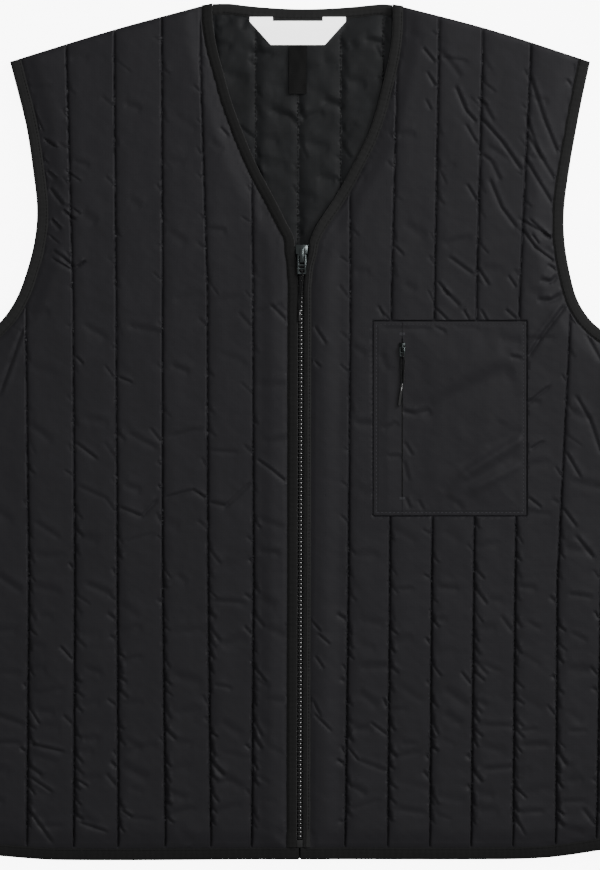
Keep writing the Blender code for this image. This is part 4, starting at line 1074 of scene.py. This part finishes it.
def stitches(name, lines, top, stitch, finish):
    """Rows of small thread stitches that lie on a surface."""
    pitch, length, radius, lift = stitch
    middles, ways = [], []
    for line in lines:
        ends = np.array([tuple(p) for p in line])
        steps = np.linalg.norm(np.diff(ends, axis=0), axis=1)
        run = np.concatenate(([0.0], np.cumsum(steps)))
        places = np.arange(pitch / 2, run[-1], pitch)
        here = np.column_stack([np.interp(places, run, ends[:, i]) for i in (0, 1)])
        ahead = np.column_stack([np.interp(places + 0.4, run, ends[:, i]) for i in (0, 1)])
        back = np.column_stack([np.interp(places - 0.4, run, ends[:, i]) for i in (0, 1)])
        way = ahead - back
        middles.append(here)
        ways.append(way / np.linalg.norm(way, axis=1)[:, None])
    middles, ways = np.concatenate(middles), np.concatenate(ways)
    heights = top(middles) + lift
    slope = (top(middles + ways) - top(middles - ways)) / 2
    verts, faces = [], []
    for (x, y), (wx, wy), z, rise in zip(middles, ways, heights, slope):
        start = len(verts)
        for along, wide in STITCH_SHAPE:
            for side, up in STITCH_SIDES:
                verts.append((x + wx * along * length - wy * side * radius * wide,
                              y + wy * along * length + wx * side * radius * wide,
                              z + rise * along * length + up * radius * wide))
        for ring in range(3):
            for k in range(4):
                a, b = start + ring * 4 + k, start + ring * 4 + (k + 1) % 4
                faces.append((a, a + 4, b + 4, b))
        faces.append(tuple(start + k for k in range(4)))
        faces.append(tuple(start + 12 + k for k in range(4))[::-1])
    return new_piece(name, verts, faces, finish, "vest")


# %% [markdown]
# ## The three quilted walls
# Each front is a sheet that lies on the zip tape and on the back. The back lies on the table
# with its lining up, which shows inside the neck.

# %% Fronts and back
LINING_SEEN = 120.0
ROW_STEP = 2.3
FINE_STEP = 2.5
right_puckers = puckers(SEAMS[-1], PUCKER_LOW, 290.0, 3, front_busy)
right_puckers += soft_creases(SEAMS[-1], CREASE_LOW, 250.0, 21)
left_puckers = puckers(SEAMS[1], PUCKER_LOW, 290.0, 8, front_busy)
left_puckers += soft_creases(SEAMS[1], CREASE_LOW, 250.0, 22)
lining_puckers = puckers(BACK_SEAMS, PUCKER_LOW, 330.0, 5, lining_busy)
lining_puckers = [fold for fold in lining_puckers if fold.y0 > LINING_SEEN]
PANELS = {
    "front_right": Panel(front_runs(-1), SEAMS[-1], front_base,
                         pressed(RIGHT_FOLDS) + right_puckers, True, 1.7),
    "front_left": Panel(front_runs(1), SEAMS[1], front_base,
                        pressed(LEFT_FOLDS) + left_puckers, True, 4.1),
    "back": Panel(back_runs(), BACK_SEAMS, back_base,
                  softened(LINING_FOLDS) + softened(lining_puckers), False, 7.3),
}
cloth = {}
for name, panel in PANELS.items():
    step = ROW_STEP if panel.is_front else ROW_STEP * 1.35
    spots = panel.spots(step, FINE_STEP if panel.is_front else FINE_STEP * 1.3)
    low_spots = panel.spots(24.0, 12.0) if panel.is_front else panel.spots(12.0, 8.0)
    finish, slot = (SHELL, "shell") if panel.is_front else (LINING, "lining")
    cloth[name] = wall(f"quilted_{name}", panel.outline, spots, low_spots,
                       panel.top, panel.bottom, finish, [name])
    print(name, "triangles:", sum(len(p.vertices) - 2 for p in cloth[name].data.polygons))

# %% [markdown]
# The back's outer side is the shell cloth too, so the faces that look down take that material.

# %% Outer side of the back
back_mesh = cloth["back"].data
back_mesh.materials.append(SHELL)
for face in back_mesh.polygons:
    face.material_index = 1 if face.normal.z < 0 else 0
print("faces on the outer side:", sum(face.material_index for face in back_mesh.polygons))

# %% [markdown]
# ## Bindings
# A strip of knit is folded round each raw edge. Its section is a soft hook: a flap above, a
# flap below, and a rounded fold. Its width and thickness wander a little along its length.

# %% Knitted bindings
THICK_WANDER = 0.16
WIDTH_WANDER = 0.35
FOLD_TURNS = (60, 30, 0, -30, -60)


def binding(name, line, width, base, finish, start=None, end=None, roll=0.0):
    """A strip along a line. roll turns the upper flap's sewn edge down."""
    line = smooth_line([line[0]] + line[2:-2:2] + [line[-1]], 2.0)
    inner = inset(line, 1.0, start, end)
    half = BIND_THICK / 2
    rings = []
    for i, (edge, step) in enumerate(zip(line, inner)):
        way = step - edge
        swell = THICK_WANDER * noise.noise(Vector((i / 5.0, len(name), 0.3)))
        wander = WIDTH_WANDER * noise.noise(Vector((i / 7.0, 3.1, len(name))))
        wide = float(width(edge.y)) + wander
        top = BIND_THICK + swell
        turns = [math.radians(degrees) for degrees in FOLD_TURNS]
        section = [(wide, BIND_WALL), (wide, 0.0), (1.4, 0.0)]
        section += [(half - half * math.cos(a), half - half * math.sin(a)) for a in turns]
        section += [(1.5, top), (wide * 0.4, top + 0.15), (wide - 3.0, top + 0.2 + 0.5 * roll),
                    (wide - 1.8, top + 0.05), (wide - 0.7, top - 0.35 - 0.4 * roll),
                    (wide, BIND_THICK - BIND_WALL),
                    (BIND_WALL, BIND_THICK - BIND_WALL), (BIND_WALL, BIND_WALL)]
        places = [edge + way * off for off, _ in section]
        floors = base(np.array([tuple(p) for p in places]))
        rings.append([(p.x, p.y, float(f) + h) for p, f, (_, h) in zip(places, floors, section)])
    return sweep(name, rings, finish, "vest", [name])


bindings = []
for side, label in ((-1, "right"), (1, "left")):
    edge_run = front_edge(side)
    stop = HEM_Y + BIND_HEM + GAP
    strip = [p for p in edge_run if p.y > stop + 1.0]
    strip.append(Vector((float(zip_x(stop)) + side * FRONT_EDGE, stop)))
    along = (shoulder_line(side)[1] - shoulder_line(side)[0]).normalized()
    under = (side_line(side)[1] - side_line(side)[0]).normalized()
    arm = armhole_line(side)
    if side < 0:
        # This front binding takes the knit with painted shade.
        bindings.append(binding("front_binding_right", strip[::-1], EDGE_WIDTHS[side], front_base,
                                KNIT_SHADED, end=along))
        hem = hem_line(-HALF_WIDTH, edge_run[-1].x + HEM_REACH)
    else:
        bindings.append(binding("front_binding_left", strip, EDGE_WIDTHS[side], front_base,
                                KNIT, start=along, roll=1.0))
        hem = hem_line(edge_run[-1].x - HEM_REACH, HALF_WIDTH)
    bindings.append(binding(f"hem_binding_front_{label}", hem, constant(BIND_HEM), front_base,
                            KNIT_DARK))
    for base, place in ((front_base, "front"), (back_base, "back")):
        name = f"armhole_binding_{place}_{label}"
        ends = (-along, under) if side < 0 else (under, -along)
        bindings.append(binding(name, arm if side < 0 else arm[::-1], constant(BIND_ARM), base,
                                KNIT, *ends))
bindings.append(binding("hem_binding_back", hem_line(-HALF_WIDTH, HALF_WIDTH), constant(BIND_HEM),
                        back_base, KNIT_DARK))
bindings.append(binding("neck_binding_back", smooth_line(BACK_NECK, 6.0), constant(BIND_NECK_BACK),
                        back_base, KNIT, DOWN, DOWN))
print("binding strips:", len(bindings))

# %% [markdown]
# ## Thread
# Real stitches, one by one, lie in the channel seams and along the bindings.

# %% Stitches along the channels
CHANNEL_STITCH = Stitch(pitch=3.2, length=2.5, radius=0.22, lift=0.05)


def in_cloth(panel, line, margin):
    """The stretches of a line that lie in a panel, away from its bindings and its pocket."""
    spots = np.array([tuple(p) for p in line])
    good = inside(panel.outline, spots) & (panel.margin(spots) > margin)
    if panel.seams is SEAMS[1]:
        good &= pocket_press(spots) < 0.5
    pieces, piece = [], []
    for point, kept in zip(line, good):
        if kept:
            piece.append(point)
        elif piece:
            pieces.append(piece)
            piece = []
    return [p for p in pieces + [piece] if len(p) > 2]


for name, panel in PANELS.items():
    low_y = HEM_Y if panel.is_front else LINING_SEEN
    rows = []
    for seam in panel.seams:
        line = [Vector((float(seam_x(seam, y)), y)) for y in np.arange(low_y, 343.0, 4.0)]
        rows += in_cloth(panel, line, 0.5)
    sewn = stitches(f"channel_stitches_{name}", rows, panel.top, CHANNEL_STITCH, THREAD)
    print(sewn.name, "stitches:", len(sewn.data.vertices) // 16)

# %% [markdown]
# A row of stitches holds each binding, a little in from the edge of its upper flap.

# %% Stitches along the bindings
BINDING_STITCH = Stitch(pitch=2.8, length=2.0, radius=0.2, lift=0.12)
SEWN_IN = 1.5


def on_front_binding(spots):
    """The upper face of the bindings of the fronts."""
    return front_base(spots) + BIND_THICK


def on_back_binding(spots):
    """The upper face of the bindings of the back."""
    return back_base(spots) + BIND_THICK


rows = []
for side in (-1, 1):
    edge = [p for p in front_edge(side) if HEM_Y + 12.0 < p.y < 338.0]
    moved = []
    for a, b in zip(edge, edge[1:]):
        moved.append(a + left_of(a, b) * side * (float(EDGE_WIDTHS[side](a.y)) - SEWN_IN))
    rows.append(moved)
    arm = armhole_line(side, 3.0)
    rows.append([a - left_of(a, b) * side * (BIND_ARM - SEWN_IN) for a, b in zip(arm, arm[1:])])
    hem = hem_line(-HALF_WIDTH, -4.0) if side < 0 else hem_line(4.0, HALF_WIDTH)
    rows.append([p + Vector((0.0, BIND_HEM - SEWN_IN)) for p in hem])
stitches("binding_stitches", rows, on_front_binding, BINDING_STITCH, THREAD)
neck_row = [p - Vector((0.0, BIND_NECK - 1.0)) for p in smooth_line(BACK_NECK, 3.0)[3:-3]]
stitches("neck_stitches", [neck_row], on_back_binding, BINDING_STITCH, THREAD)
print("stitched lines:", len(rows) + 1)

# %% [markdown]
# ## The front zip
# Two woven tapes carry moulded teeth that take turns from the left and the right. Each tooth
# is a rounded block with a wider head, made once and copied along the tape's edge.

# %% Zip tapes and teeth
TAPE_Z = FRONT_BASE + 1.1
TAPE_THICK = 0.8
CHAIN_Z = TAPE_Z + TAPE_THICK + GAP
CHAIN_THICK = 2.6
TOOTH_PITCH = 3.36
TAPE_LOW = -338.0
TAPE_WIDE = 14.0
TAPE_SOFT = 0.15
GLINT_FACING = Vector((0.67, 0.55, 1.49)).normalized()
GLINT_MIDDLE = Vector((0.55, 0.0, CHAIN_THICK - 0.45))
GLINT_RADIUS = 0.31


def copies(name, block, places, finish, replaced):
    """Many copies of one small block in a single mesh. places gives each copy's offset and side."""
    verts = np.array([tuple(v.co) for v in block.verts])
    faces = [tuple(v.index for v in face.verts) for face in block.faces]
    all_verts, all_faces = [], []
    for number, (offset, side) in enumerate(places):
        start = number * len(verts)
        all_verts.append(verts * (side, 1.0, 1.0) + offset)
        all_faces += [tuple(start + i for i in (f if side > 0 else f[::-1])) for f in faces]
    return new_piece(name, np.concatenate(all_verts), all_faces, finish, "vest", replaced)


def tooth(reach, foot, wide, head, thick, bevel):
    """A tooth whose foot holds the tape at -X and whose head reaches across to +X."""
    block = bmesh.new()
    bmesh.ops.create_cube(block, size=1.0)
    bmesh.ops.scale(block, vec=(reach + foot, wide, thick), verts=block.verts)
    bmesh.ops.translate(block, vec=((reach - foot) / 2, 0.0, thick / 2), verts=block.verts)
    for vert in block.verts:
        if vert.co.x > 0:
            vert.co.y *= head / wide
            vert.co.z = mix(thick / 2, vert.co.z, 0.8)
    bmesh.ops.bevel(block, geom=block.edges[:] + block.verts[:], offset=bevel, segments=3,
                    profile=0.5, affect="EDGES")
    block.verts.index_update()
    return block


def polished(block):
    """Adds a flat polished disc to a tooth's head. It sends one small glint to the camera."""
    start = set(block.faces)
    turn = GLINT_FACING.to_track_quat("Z", "Y").to_matrix().to_4x4()
    bmesh.ops.create_cone(block, cap_ends=True, segments=12, radius1=GLINT_RADIUS,
                          radius2=GLINT_RADIUS, depth=0.5,
                          matrix=Matrix.Translation(GLINT_MIDDLE) @ turn)
    for face in block.faces:
        face.material_index = 1 if face in start else 0
    block.verts.index_update()
    return block


places = []
count = int((ZIP_TOP_Y - 6.0 - ZIP_END_Y) / TOOTH_PITCH * 2)
for k in range(count):
    y = ZIP_END_Y + 0.9 + k * TOOTH_PITCH / 2
    side = 1 if k % 2 else -1
    places.append(((float(zip_x(y)), y, CHAIN_Z), side))
front_tooth = polished(tooth(reach=1.4, foot=2.0, wide=1.2, head=1.5, thick=CHAIN_THICK - 0.3,
                             bevel=0.35))
row = copies("zip_teeth_row", front_tooth, places, PLASTIC, ["zip_teeth"])
row.data.materials.append(COIL)
finishes = [face.material_index for face in front_tooth.faces]
row.data.polygons.foreach_set("material_index", finishes * len(places))
print("front zip teeth:", len(places))


def tape_strip(name, line_x, low_y, high_y, near, far, low_z, high_z, replaced):
    """A flat woven strip beside a line, with softly rounded edges."""
    section = (
        (near + TAPE_SOFT, low_z), (far - TAPE_SOFT, low_z),
        (far, low_z + TAPE_SOFT), (far, high_z - TAPE_SOFT),
        (far - TAPE_SOFT, high_z), (near + TAPE_SOFT, high_z),
        (near, high_z - TAPE_SOFT), (near, low_z + TAPE_SOFT),
    )
    rings = []
    for y in np.arange(high_y, low_y - 0.01, -2.0):
        x = float(line_x(y))
        rings.append([(x + off, y, z) for off, z in section])
    return sweep(name, rings, TAPE, "vest", replaced)


for side, label in ((-1, "right"), (1, "left")):
    near, far = sorted((side * GAP / 2, side * TAPE_WIDE))
    tape_strip(f"woven_tape_{label}", zip_x, TAPE_LOW, ZIP_TOP_Y, near, far,
               TAPE_Z, TAPE_Z + TAPE_THICK, [f"zip_tape_{label}"])

# %% [markdown]
# ## Sliders, pull tabs and stops
# The CAD pieces have the right shape with sharp corners. A copy with a fine bevel catches the
# light along its edges, as cast metal does.

# %% Refined metal pieces


def refined(node, finish, body, width):
    """A copy of a CAD node with its corners rounded."""
    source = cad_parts[node]
    edit = bmesh.new()
    edit.from_mesh(source.data)
    bmesh.ops.remove_doubles(edit, verts=edit.verts, dist=0.00001)
    bmesh.ops.dissolve_limit(edit, angle_limit=math.radians(2.0), verts=edit.verts,
                             edges=edit.edges)
    sharp = [edge for edge in edit.edges
             if len(edge.link_faces) == 2 and edge.calc_face_angle(0.0) > math.radians(30.0)]
    bmesh.ops.bevel(edit, geom=sharp, offset=width * MM, segments=3, profile=0.5,
                    affect="EDGES", clamp_overlap=True)
    mesh = bpy.data.meshes.new(f"{node}_round")
    edit.to_mesh(mesh)
    edit.free()
    mesh.shade_smooth()
    mesh.set_sharp_from_angle(angle=math.radians(40.0))
    mesh.materials.append(finish)
    piece = bpy.data.objects.new(f"{node}_round", mesh)
    bpy.context.scene.collection.objects.link(piece)
    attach(piece, body)
    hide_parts(node)
    return piece


metal = [
    refined("zip_slider", GUNMETAL, "vest", 0.3),
    refined("zip_pull_tab", GUNMETAL, "zip_pull", 0.25),
    refined("pocket_slider", GUNMETAL_DARK, "vest", 0.2),
    refined("pocket_pull_tab", GUNMETAL, "pocket_pull", 0.18),
    refined("zip_bottom_stop", COIL, "vest", 0.4),
]
main_end = refined("zip_pull_end", GLOSSY, "zip_pull", 0.15)
pocket_end = refined("pocket_pull_end", GLOSSY, "pocket_pull", 0.15)
print("metal pieces:", len(metal))

# %% [markdown]
# ## Puller cords
# Each cord leaves its moulded end, passes round the last bar of the pull tab and comes back.
# The points repeat the route of the CAD cord.

# %% Puller cords
MAIN_CORD = (
    (0.1, 97.4, 12.3), (0.3, 104.0, 12.5), (0.7, 112.0, 12.9), (1.3, 119.0, 13.8),
    (1.6, 123.0, 14.8), (1.5, 125.8, 15.1), (1.2, 127.5, 14.9), (0.9, 128.1, 13.9),
    (0.8, 128.1, 13.0), (0.6, 127.6, 12.1), (0.2, 125.6, 11.8), (-0.7, 116.0, 11.8),
    (-1.1, 105.0, 12.0), (-1.2, 97.4, 12.2),
)
POCKET_CORD = (
    (82.0, 38.6, 13.3), (82.2, 44.0, 13.4), (82.5, 50.0, 13.7), (82.9, 56.0, 14.6),
    (82.4, 58.6, 15.1), (82.0, 60.2, 15.1), (81.6, 61.3, 14.7), (81.3, 61.5, 13.9),
    (81.1, 61.5, 13.3), (80.8, 61.2, 12.5), (80.3, 60.0, 12.3), (79.7, 56.0, 12.3),
    (80.2, 46.0, 12.6), (80.5, 38.6, 13.0),
)
CORD_THICK = 1.2


def tube_rings(line, radius, sides):
    """Rings round a line in space, kept from twisting by one fixed side direction."""
    rings = []
    for i, point in enumerate(line):
        way = (line[min(i + 1, len(line) - 1)] - line[max(i - 1, 0)]).normalized()
        across = way.cross(Vector((1.0, 0.0, 0.0))).normalized()
        other = way.cross(across)
        rings.append([tuple(point + (across * math.cos(a) + other * math.sin(a)) * radius)
                      for a in (2 * math.pi * k / sides for k in range(sides))])
    return rings


def puller_cord(name, route, body, node):
    """A limp round cord along a route."""
    line = smooth_line(route, 0.7)
    piece = sweep(name, tube_rings(line, CORD_THICK / 2, 12), CORD, body, [node])
    return piece


puller_cord("main_puller_cord", MAIN_CORD, "zip_pull", "zip_pull_cord")
puller_cord("pocket_puller_cord", POCKET_CORD, "pocket_pull", "pocket_pull_cord")

# %% [markdown]
# ## The patch pocket
# It is one plain cloth with a slit for its zip. It is sewn down along its edge with a line of
# stitches and puffs a little in the middle.

# %% Pocket cloth


def from_pocket_edge(spots):
    """How far each spot is inside the pocket's outline."""
    x, y = spots[:, 0], spots[:, 1]
    across = np.minimum(x - POCKET_LEFT, POCKET_RIGHT - x)
    return np.minimum(across, np.minimum(y - POCKET_LOW, POCKET_TOP - y))


def pocket_base(spots):
    """The pocket's underside: raised over its zip tape, puffed and creased in the middle."""
    from_slit = np.abs(spots[:, 0] - SLIT_X)
    raised = SLIT_RAISE * (1 - ease((from_slit - TAPE_HALF) / 16.0))
    edge = from_pocket_edge(spots)
    inner = np.minimum(edge, from_slit)
    puff = POCKET_PUFF * ease((inner - 3.0) / 30.0)
    return POCKET_Z + raised + puff - fold_relief(POCKET_FOLDS, spots) * ease((edge - 1.0) / 5.0)


def pocket_top(spots):
    """The pocket's upper face, drawn down where it is sewn and rounded off at its edge."""
    edge = from_pocket_edge(spots)
    groove = 0.35 * np.exp(-((edge - EDGE_SEWN) / 0.7) ** 2)
    rounded = 0.35 * (1 - clamp(edge / 0.8)) ** 2
    ripple = 0.16 * soft_noise(spots, 11.0, 17.0, 2.2) * ease((edge - 2.0) / 8.0)
    return pocket_base(spots) + POCKET_WALL - groove - rounded + ripple


def dotted(corners, step):
    """A closed outline through corners, with a point about every step."""
    outline = []
    for a, b in zip(corners, corners[1:] + corners[:1]):
        parts = max(1, math.ceil((Vector(b) - Vector(a)).length / step))
        outline += [Vector(a).lerp(Vector(b), k / parts) for k in range(parts)]
    return outline


def grid(low_x, high_x, low_y, high_y, step):
    """Spots in even rows and columns."""
    xs, ys = np.arange(low_x, high_x, step), np.arange(low_y, high_y, step)
    return np.array([(x, y) for y in ys for x in xs])


def filled(outline, low_x, high_x, low_y, high_y, step):
    """Grid spots inside an outline and clear of its edge."""
    spots = grid(low_x, high_x, low_y, high_y, step)
    spots = spots[inside(outline, spots)]
    return spots[distance([outline + outline[:1]], spots) > step * 0.45]


def slit_edge(side):
    """The pocket cloth's edge along the zip, from low to high: open only beside the teeth."""
    shut, wide = SLIT_X + side * GAP / 2, SLIT_X + side * SLIT_HALF
    return [(shut, POCKET_LOW), (shut, SLIT_LOW), (wide, SLIT_LOW + 3.0),
            (wide, SLIT_TOP - 3.0), (shut, SLIT_TOP), (shut, POCKET_TOP)]


main_corners = [(POCKET_RIGHT, POCKET_LOW), (POCKET_RIGHT, POCKET_TOP)] + slit_edge(1)[::-1]
side_corners = [(POCKET_LEFT, POCKET_TOP), (POCKET_LEFT, POCKET_LOW)] + slit_edge(-1)
pocket = {}
for name, corners in (("pocket_panel", main_corners), ("pocket_side", side_corners)):
    outline = dotted(corners, 1.2)
    spots = filled(outline, POCKET_LEFT, POCKET_RIGHT, POCKET_LOW, POCKET_TOP, 1.2)
    low_spots = filled(outline, POCKET_LEFT, POCKET_RIGHT, POCKET_LOW, POCKET_TOP, 6.0)
    pocket[name] = wall(f"{name}_cloth", outline, spots, low_spots, pocket_top, pocket_base,
                        SHELL, [name])
    print(name, "triangles:", len(pocket[name].data.polygons))

# %% Pocket zip and stitches
POCKET_STITCH = Stitch(pitch=3.2, length=1.7, radius=0.3, lift=0.02)
TACK_STITCH = Stitch(pitch=2.5, length=2.4, radius=0.2, lift=0.1)
TACK_ROWS = 7
TACK_ROW_STEP = 0.3
TACK_HALF = 2.5
COIL_PITCH = 1.0
COIL_TOP = 67.0
tape_strip("pocket_tape", constant(SLIT_X), SLIT_LOW - 2.0, SLIT_TOP + 2.0, -TAPE_HALF, TAPE_HALF,
           POCKET_Z, POCKET_Z + 0.6, ["pocket_zip_tape"])
low_tooth = SLIT_LOW + 4.0
places = []
for k in range(int((COIL_TOP - low_tooth) / COIL_PITCH)):
    y = low_tooth + k * COIL_PITCH
    places.append(((SLIT_X, y, POCKET_Z + SLIT_RAISE), 1 if k % 2 else -1))
coil_turn = tooth(reach=0.4, foot=0.4, wide=0.75, head=0.75, thick=0.7, bevel=0.1)
copies("pocket_teeth_row", coil_turn, places, COIL, ["pocket_zip_teeth"])
low_x, high_x = POCKET_LEFT + EDGE_SEWN, POCKET_RIGHT - EDGE_SEWN
low_y, high_y = POCKET_LOW + EDGE_SEWN, POCKET_TOP - EDGE_SEWN
corners = ((low_x, high_y), (low_x, low_y), (high_x, low_y), (high_x, high_y), (low_x, high_y))
tacks = []
for y in (SLIT_LOW - 0.6, SLIT_TOP + 0.6):
    for k in range(TACK_ROWS):
        row_y = y + k * TACK_ROW_STEP
        tacks.append([Vector((SLIT_X - TACK_HALF, row_y)), Vector((SLIT_X + TACK_HALF, row_y))])
stitches("pocket_stitches", [[Vector(c) for c in corners]], pocket_top, POCKET_STITCH, THREAD_PALE)
stitches("pocket_bar_tacks", tacks, pocket_top, TACK_STITCH, THREAD_PALE)
print("pocket teeth:", len(places))

# %% [markdown]
# ## Labels
# A white tape is folded at its two lower corners and sewn in under the neck binding, with a
# small black tag below it. Both are blank.

# %% Neck label and tag
LABEL_X, LABEL_TOP, LABEL_LOW, LABEL_NOTCH = -2.2, 331.6, 309.2, 3.2
LABEL_TOP_HALF, LABEL_LOW_HALF, LABEL_LEG = 38.4, 21.6, 18.4
TAG_HALF, TAG_LOW = 7.0, 269.9
LABEL_THICK = 0.6


def label_seat(spots):
    """The underside of the labels, which rest on the lining and on the neck binding."""
    margin = PANELS["back"].margin(spots)
    seat = mix(BAND_THICK + FLAP_STEP, CROWN_THICK + 0.6, ease(margin / BAND_RISE)) + GAP
    return mix(seat, np.maximum(seat, BIND_THICK + GAP), ease((spots[:, 1] - 324.0) / 4.0))


def label_face(spots):
    """The folded ends stand above the tape between them, with a crease along each mitre."""
    off = np.abs(spots[:, 0] - LABEL_X)
    fold_at = LABEL_TOP - LABEL_NOTCH
    lip = 0.35 * ease((spots[:, 1] - fold_at + 0.6) / 1.0)
    mitre_x = mix(LABEL_LOW_HALF, LABEL_TOP_HALF, (spots[:, 1] - LABEL_LOW) / (fold_at - LABEL_LOW))
    edge = clamp((mitre_x - off) / 0.9)
    wave = 0.25 * soft_noise(spots, 16.0, 20.0, 6.0)
    return label_seat(spots) + LABEL_THICK * mix(0.6, 1.0, edge) + lip + wave + 0.1


def tag_face(spots):
    """The small tag's upper face, a little wavy."""
    return label_seat(spots) + LABEL_THICK + 0.3 * soft_noise(spots, 9.0, 12.0, 1.0)


x, notch = LABEL_X, LABEL_TOP - LABEL_NOTCH
label_corners = [
    (x - LABEL_LOW_HALF, LABEL_LOW), (x + LABEL_LOW_HALF, LABEL_LOW),
    (x + LABEL_TOP_HALF, notch - 0.5), (x + LABEL_TOP_HALF, LABEL_TOP),
    (x + LABEL_TOP_HALF - LABEL_LEG, LABEL_TOP), (x + LABEL_TOP_HALF - LABEL_LEG, notch),
    (x - LABEL_TOP_HALF + LABEL_LEG, notch), (x - LABEL_TOP_HALF + LABEL_LEG, LABEL_TOP),
    (x - LABEL_TOP_HALF, LABEL_TOP), (x - LABEL_TOP_HALF, notch - 0.5),
]
outline = dotted(label_corners, 0.8)
spots = filled(outline, x - 40, x + 40, LABEL_LOW, LABEL_TOP, 0.8)
wall("white_label", outline, spots, spots[::9], label_face, label_seat,
     WHITE_SATIN, ["neck_label"])
outline = dotted([(x - TAG_HALF, TAG_LOW), (x + TAG_HALF, TAG_LOW),
                  (x + TAG_HALF, LABEL_LOW - GAP), (x - TAG_HALF, LABEL_LOW - GAP)], 0.8)
spots = filled(outline, x - 8, x + 8, TAG_LOW, LABEL_LOW, 0.8)
wall("black_tag", outline, spots, spots[::9], tag_face, label_seat,
     BLACK_SATIN, ["size_tag"])
print("labels made")

# %% [markdown]
# ## The cloth walls
# Each wall of the vest is a sheet that lies flat.

# %% Sheets
print("sheets declared:", len(cloth))

# %% [markdown]
# ## Table and light
# A white table under a soft sky of light, with a lamp from the upper right that gives each seam
# its dark and light side. The table glows a little, like the lit sheet under a catalogue
# picture, so that it stays white round dark cloth. Its glow is kept off the cloth, which would
# get pale edges from it.

# %% Table and lights
TABLE_GLOW = 8.0
TABLE_REACH = 3.0
TABLE_DROP = 0.4
SKY_LIGHT = 0.4
table_mesh = bpy.data.meshes.new("table")
corners = [(x * TABLE_REACH, y * TABLE_REACH, 0) for x, y in ((-1, -1), (1, -1), (1, 1), (-1, 1))]
table_mesh.from_pydata(corners, [], [(0, 1, 2, 3)])
table_finish, _, table_shader = new_material("white table", "#ffffff", 0.9)
table_shader.inputs["Specular IOR Level"].default_value = 0.0
table_shader.inputs["Emission Color"].default_value = (1.0, 1.0, 1.0, 1.0)
table_shader.inputs["Emission Strength"].default_value = TABLE_GLOW
table_mesh.materials.append(table_finish)
table = bpy.data.objects.new("table", table_mesh)
table.location.z = cad_box[0].z - TABLE_DROP * MM
bpy.context.scene.collection.objects.link(table)
table.visible_diffuse = False
table.visible_glossy = False

world = bpy.data.worlds.new("studio")
world.use_nodes = True
world.node_tree.nodes["Background"].inputs["Color"].default_value = (1.0, 1.0, 1.0, 1.0)
world.node_tree.nodes["Background"].inputs["Strength"].default_value = SKY_LIGHT
bpy.context.scene.world = world


def soft_light(name, place, size, power):
    """A square lamp that faces the vest. size is in metres and power in watts."""
    data = bpy.data.lights.new(name, "AREA")
    data.shape = "SQUARE"
    data.size = size
    data.energy = power
    lamp = bpy.data.objects.new(name, data)
    lamp.location = place
    lamp.rotation_euler = (VIEW_CENTRE - lamp.location).to_track_quat("-Z", "Y").to_euler()
    bpy.context.scene.collection.objects.link(lamp)
    return lamp


soft_light("upper right key", Vector((2.0, 1.54, 1.46)), 1.1, 59.0)
soft_light("overhead softbox", Vector((0.62, 0.5, 2.1)), 0.35, 10.0)
print("lights ready")
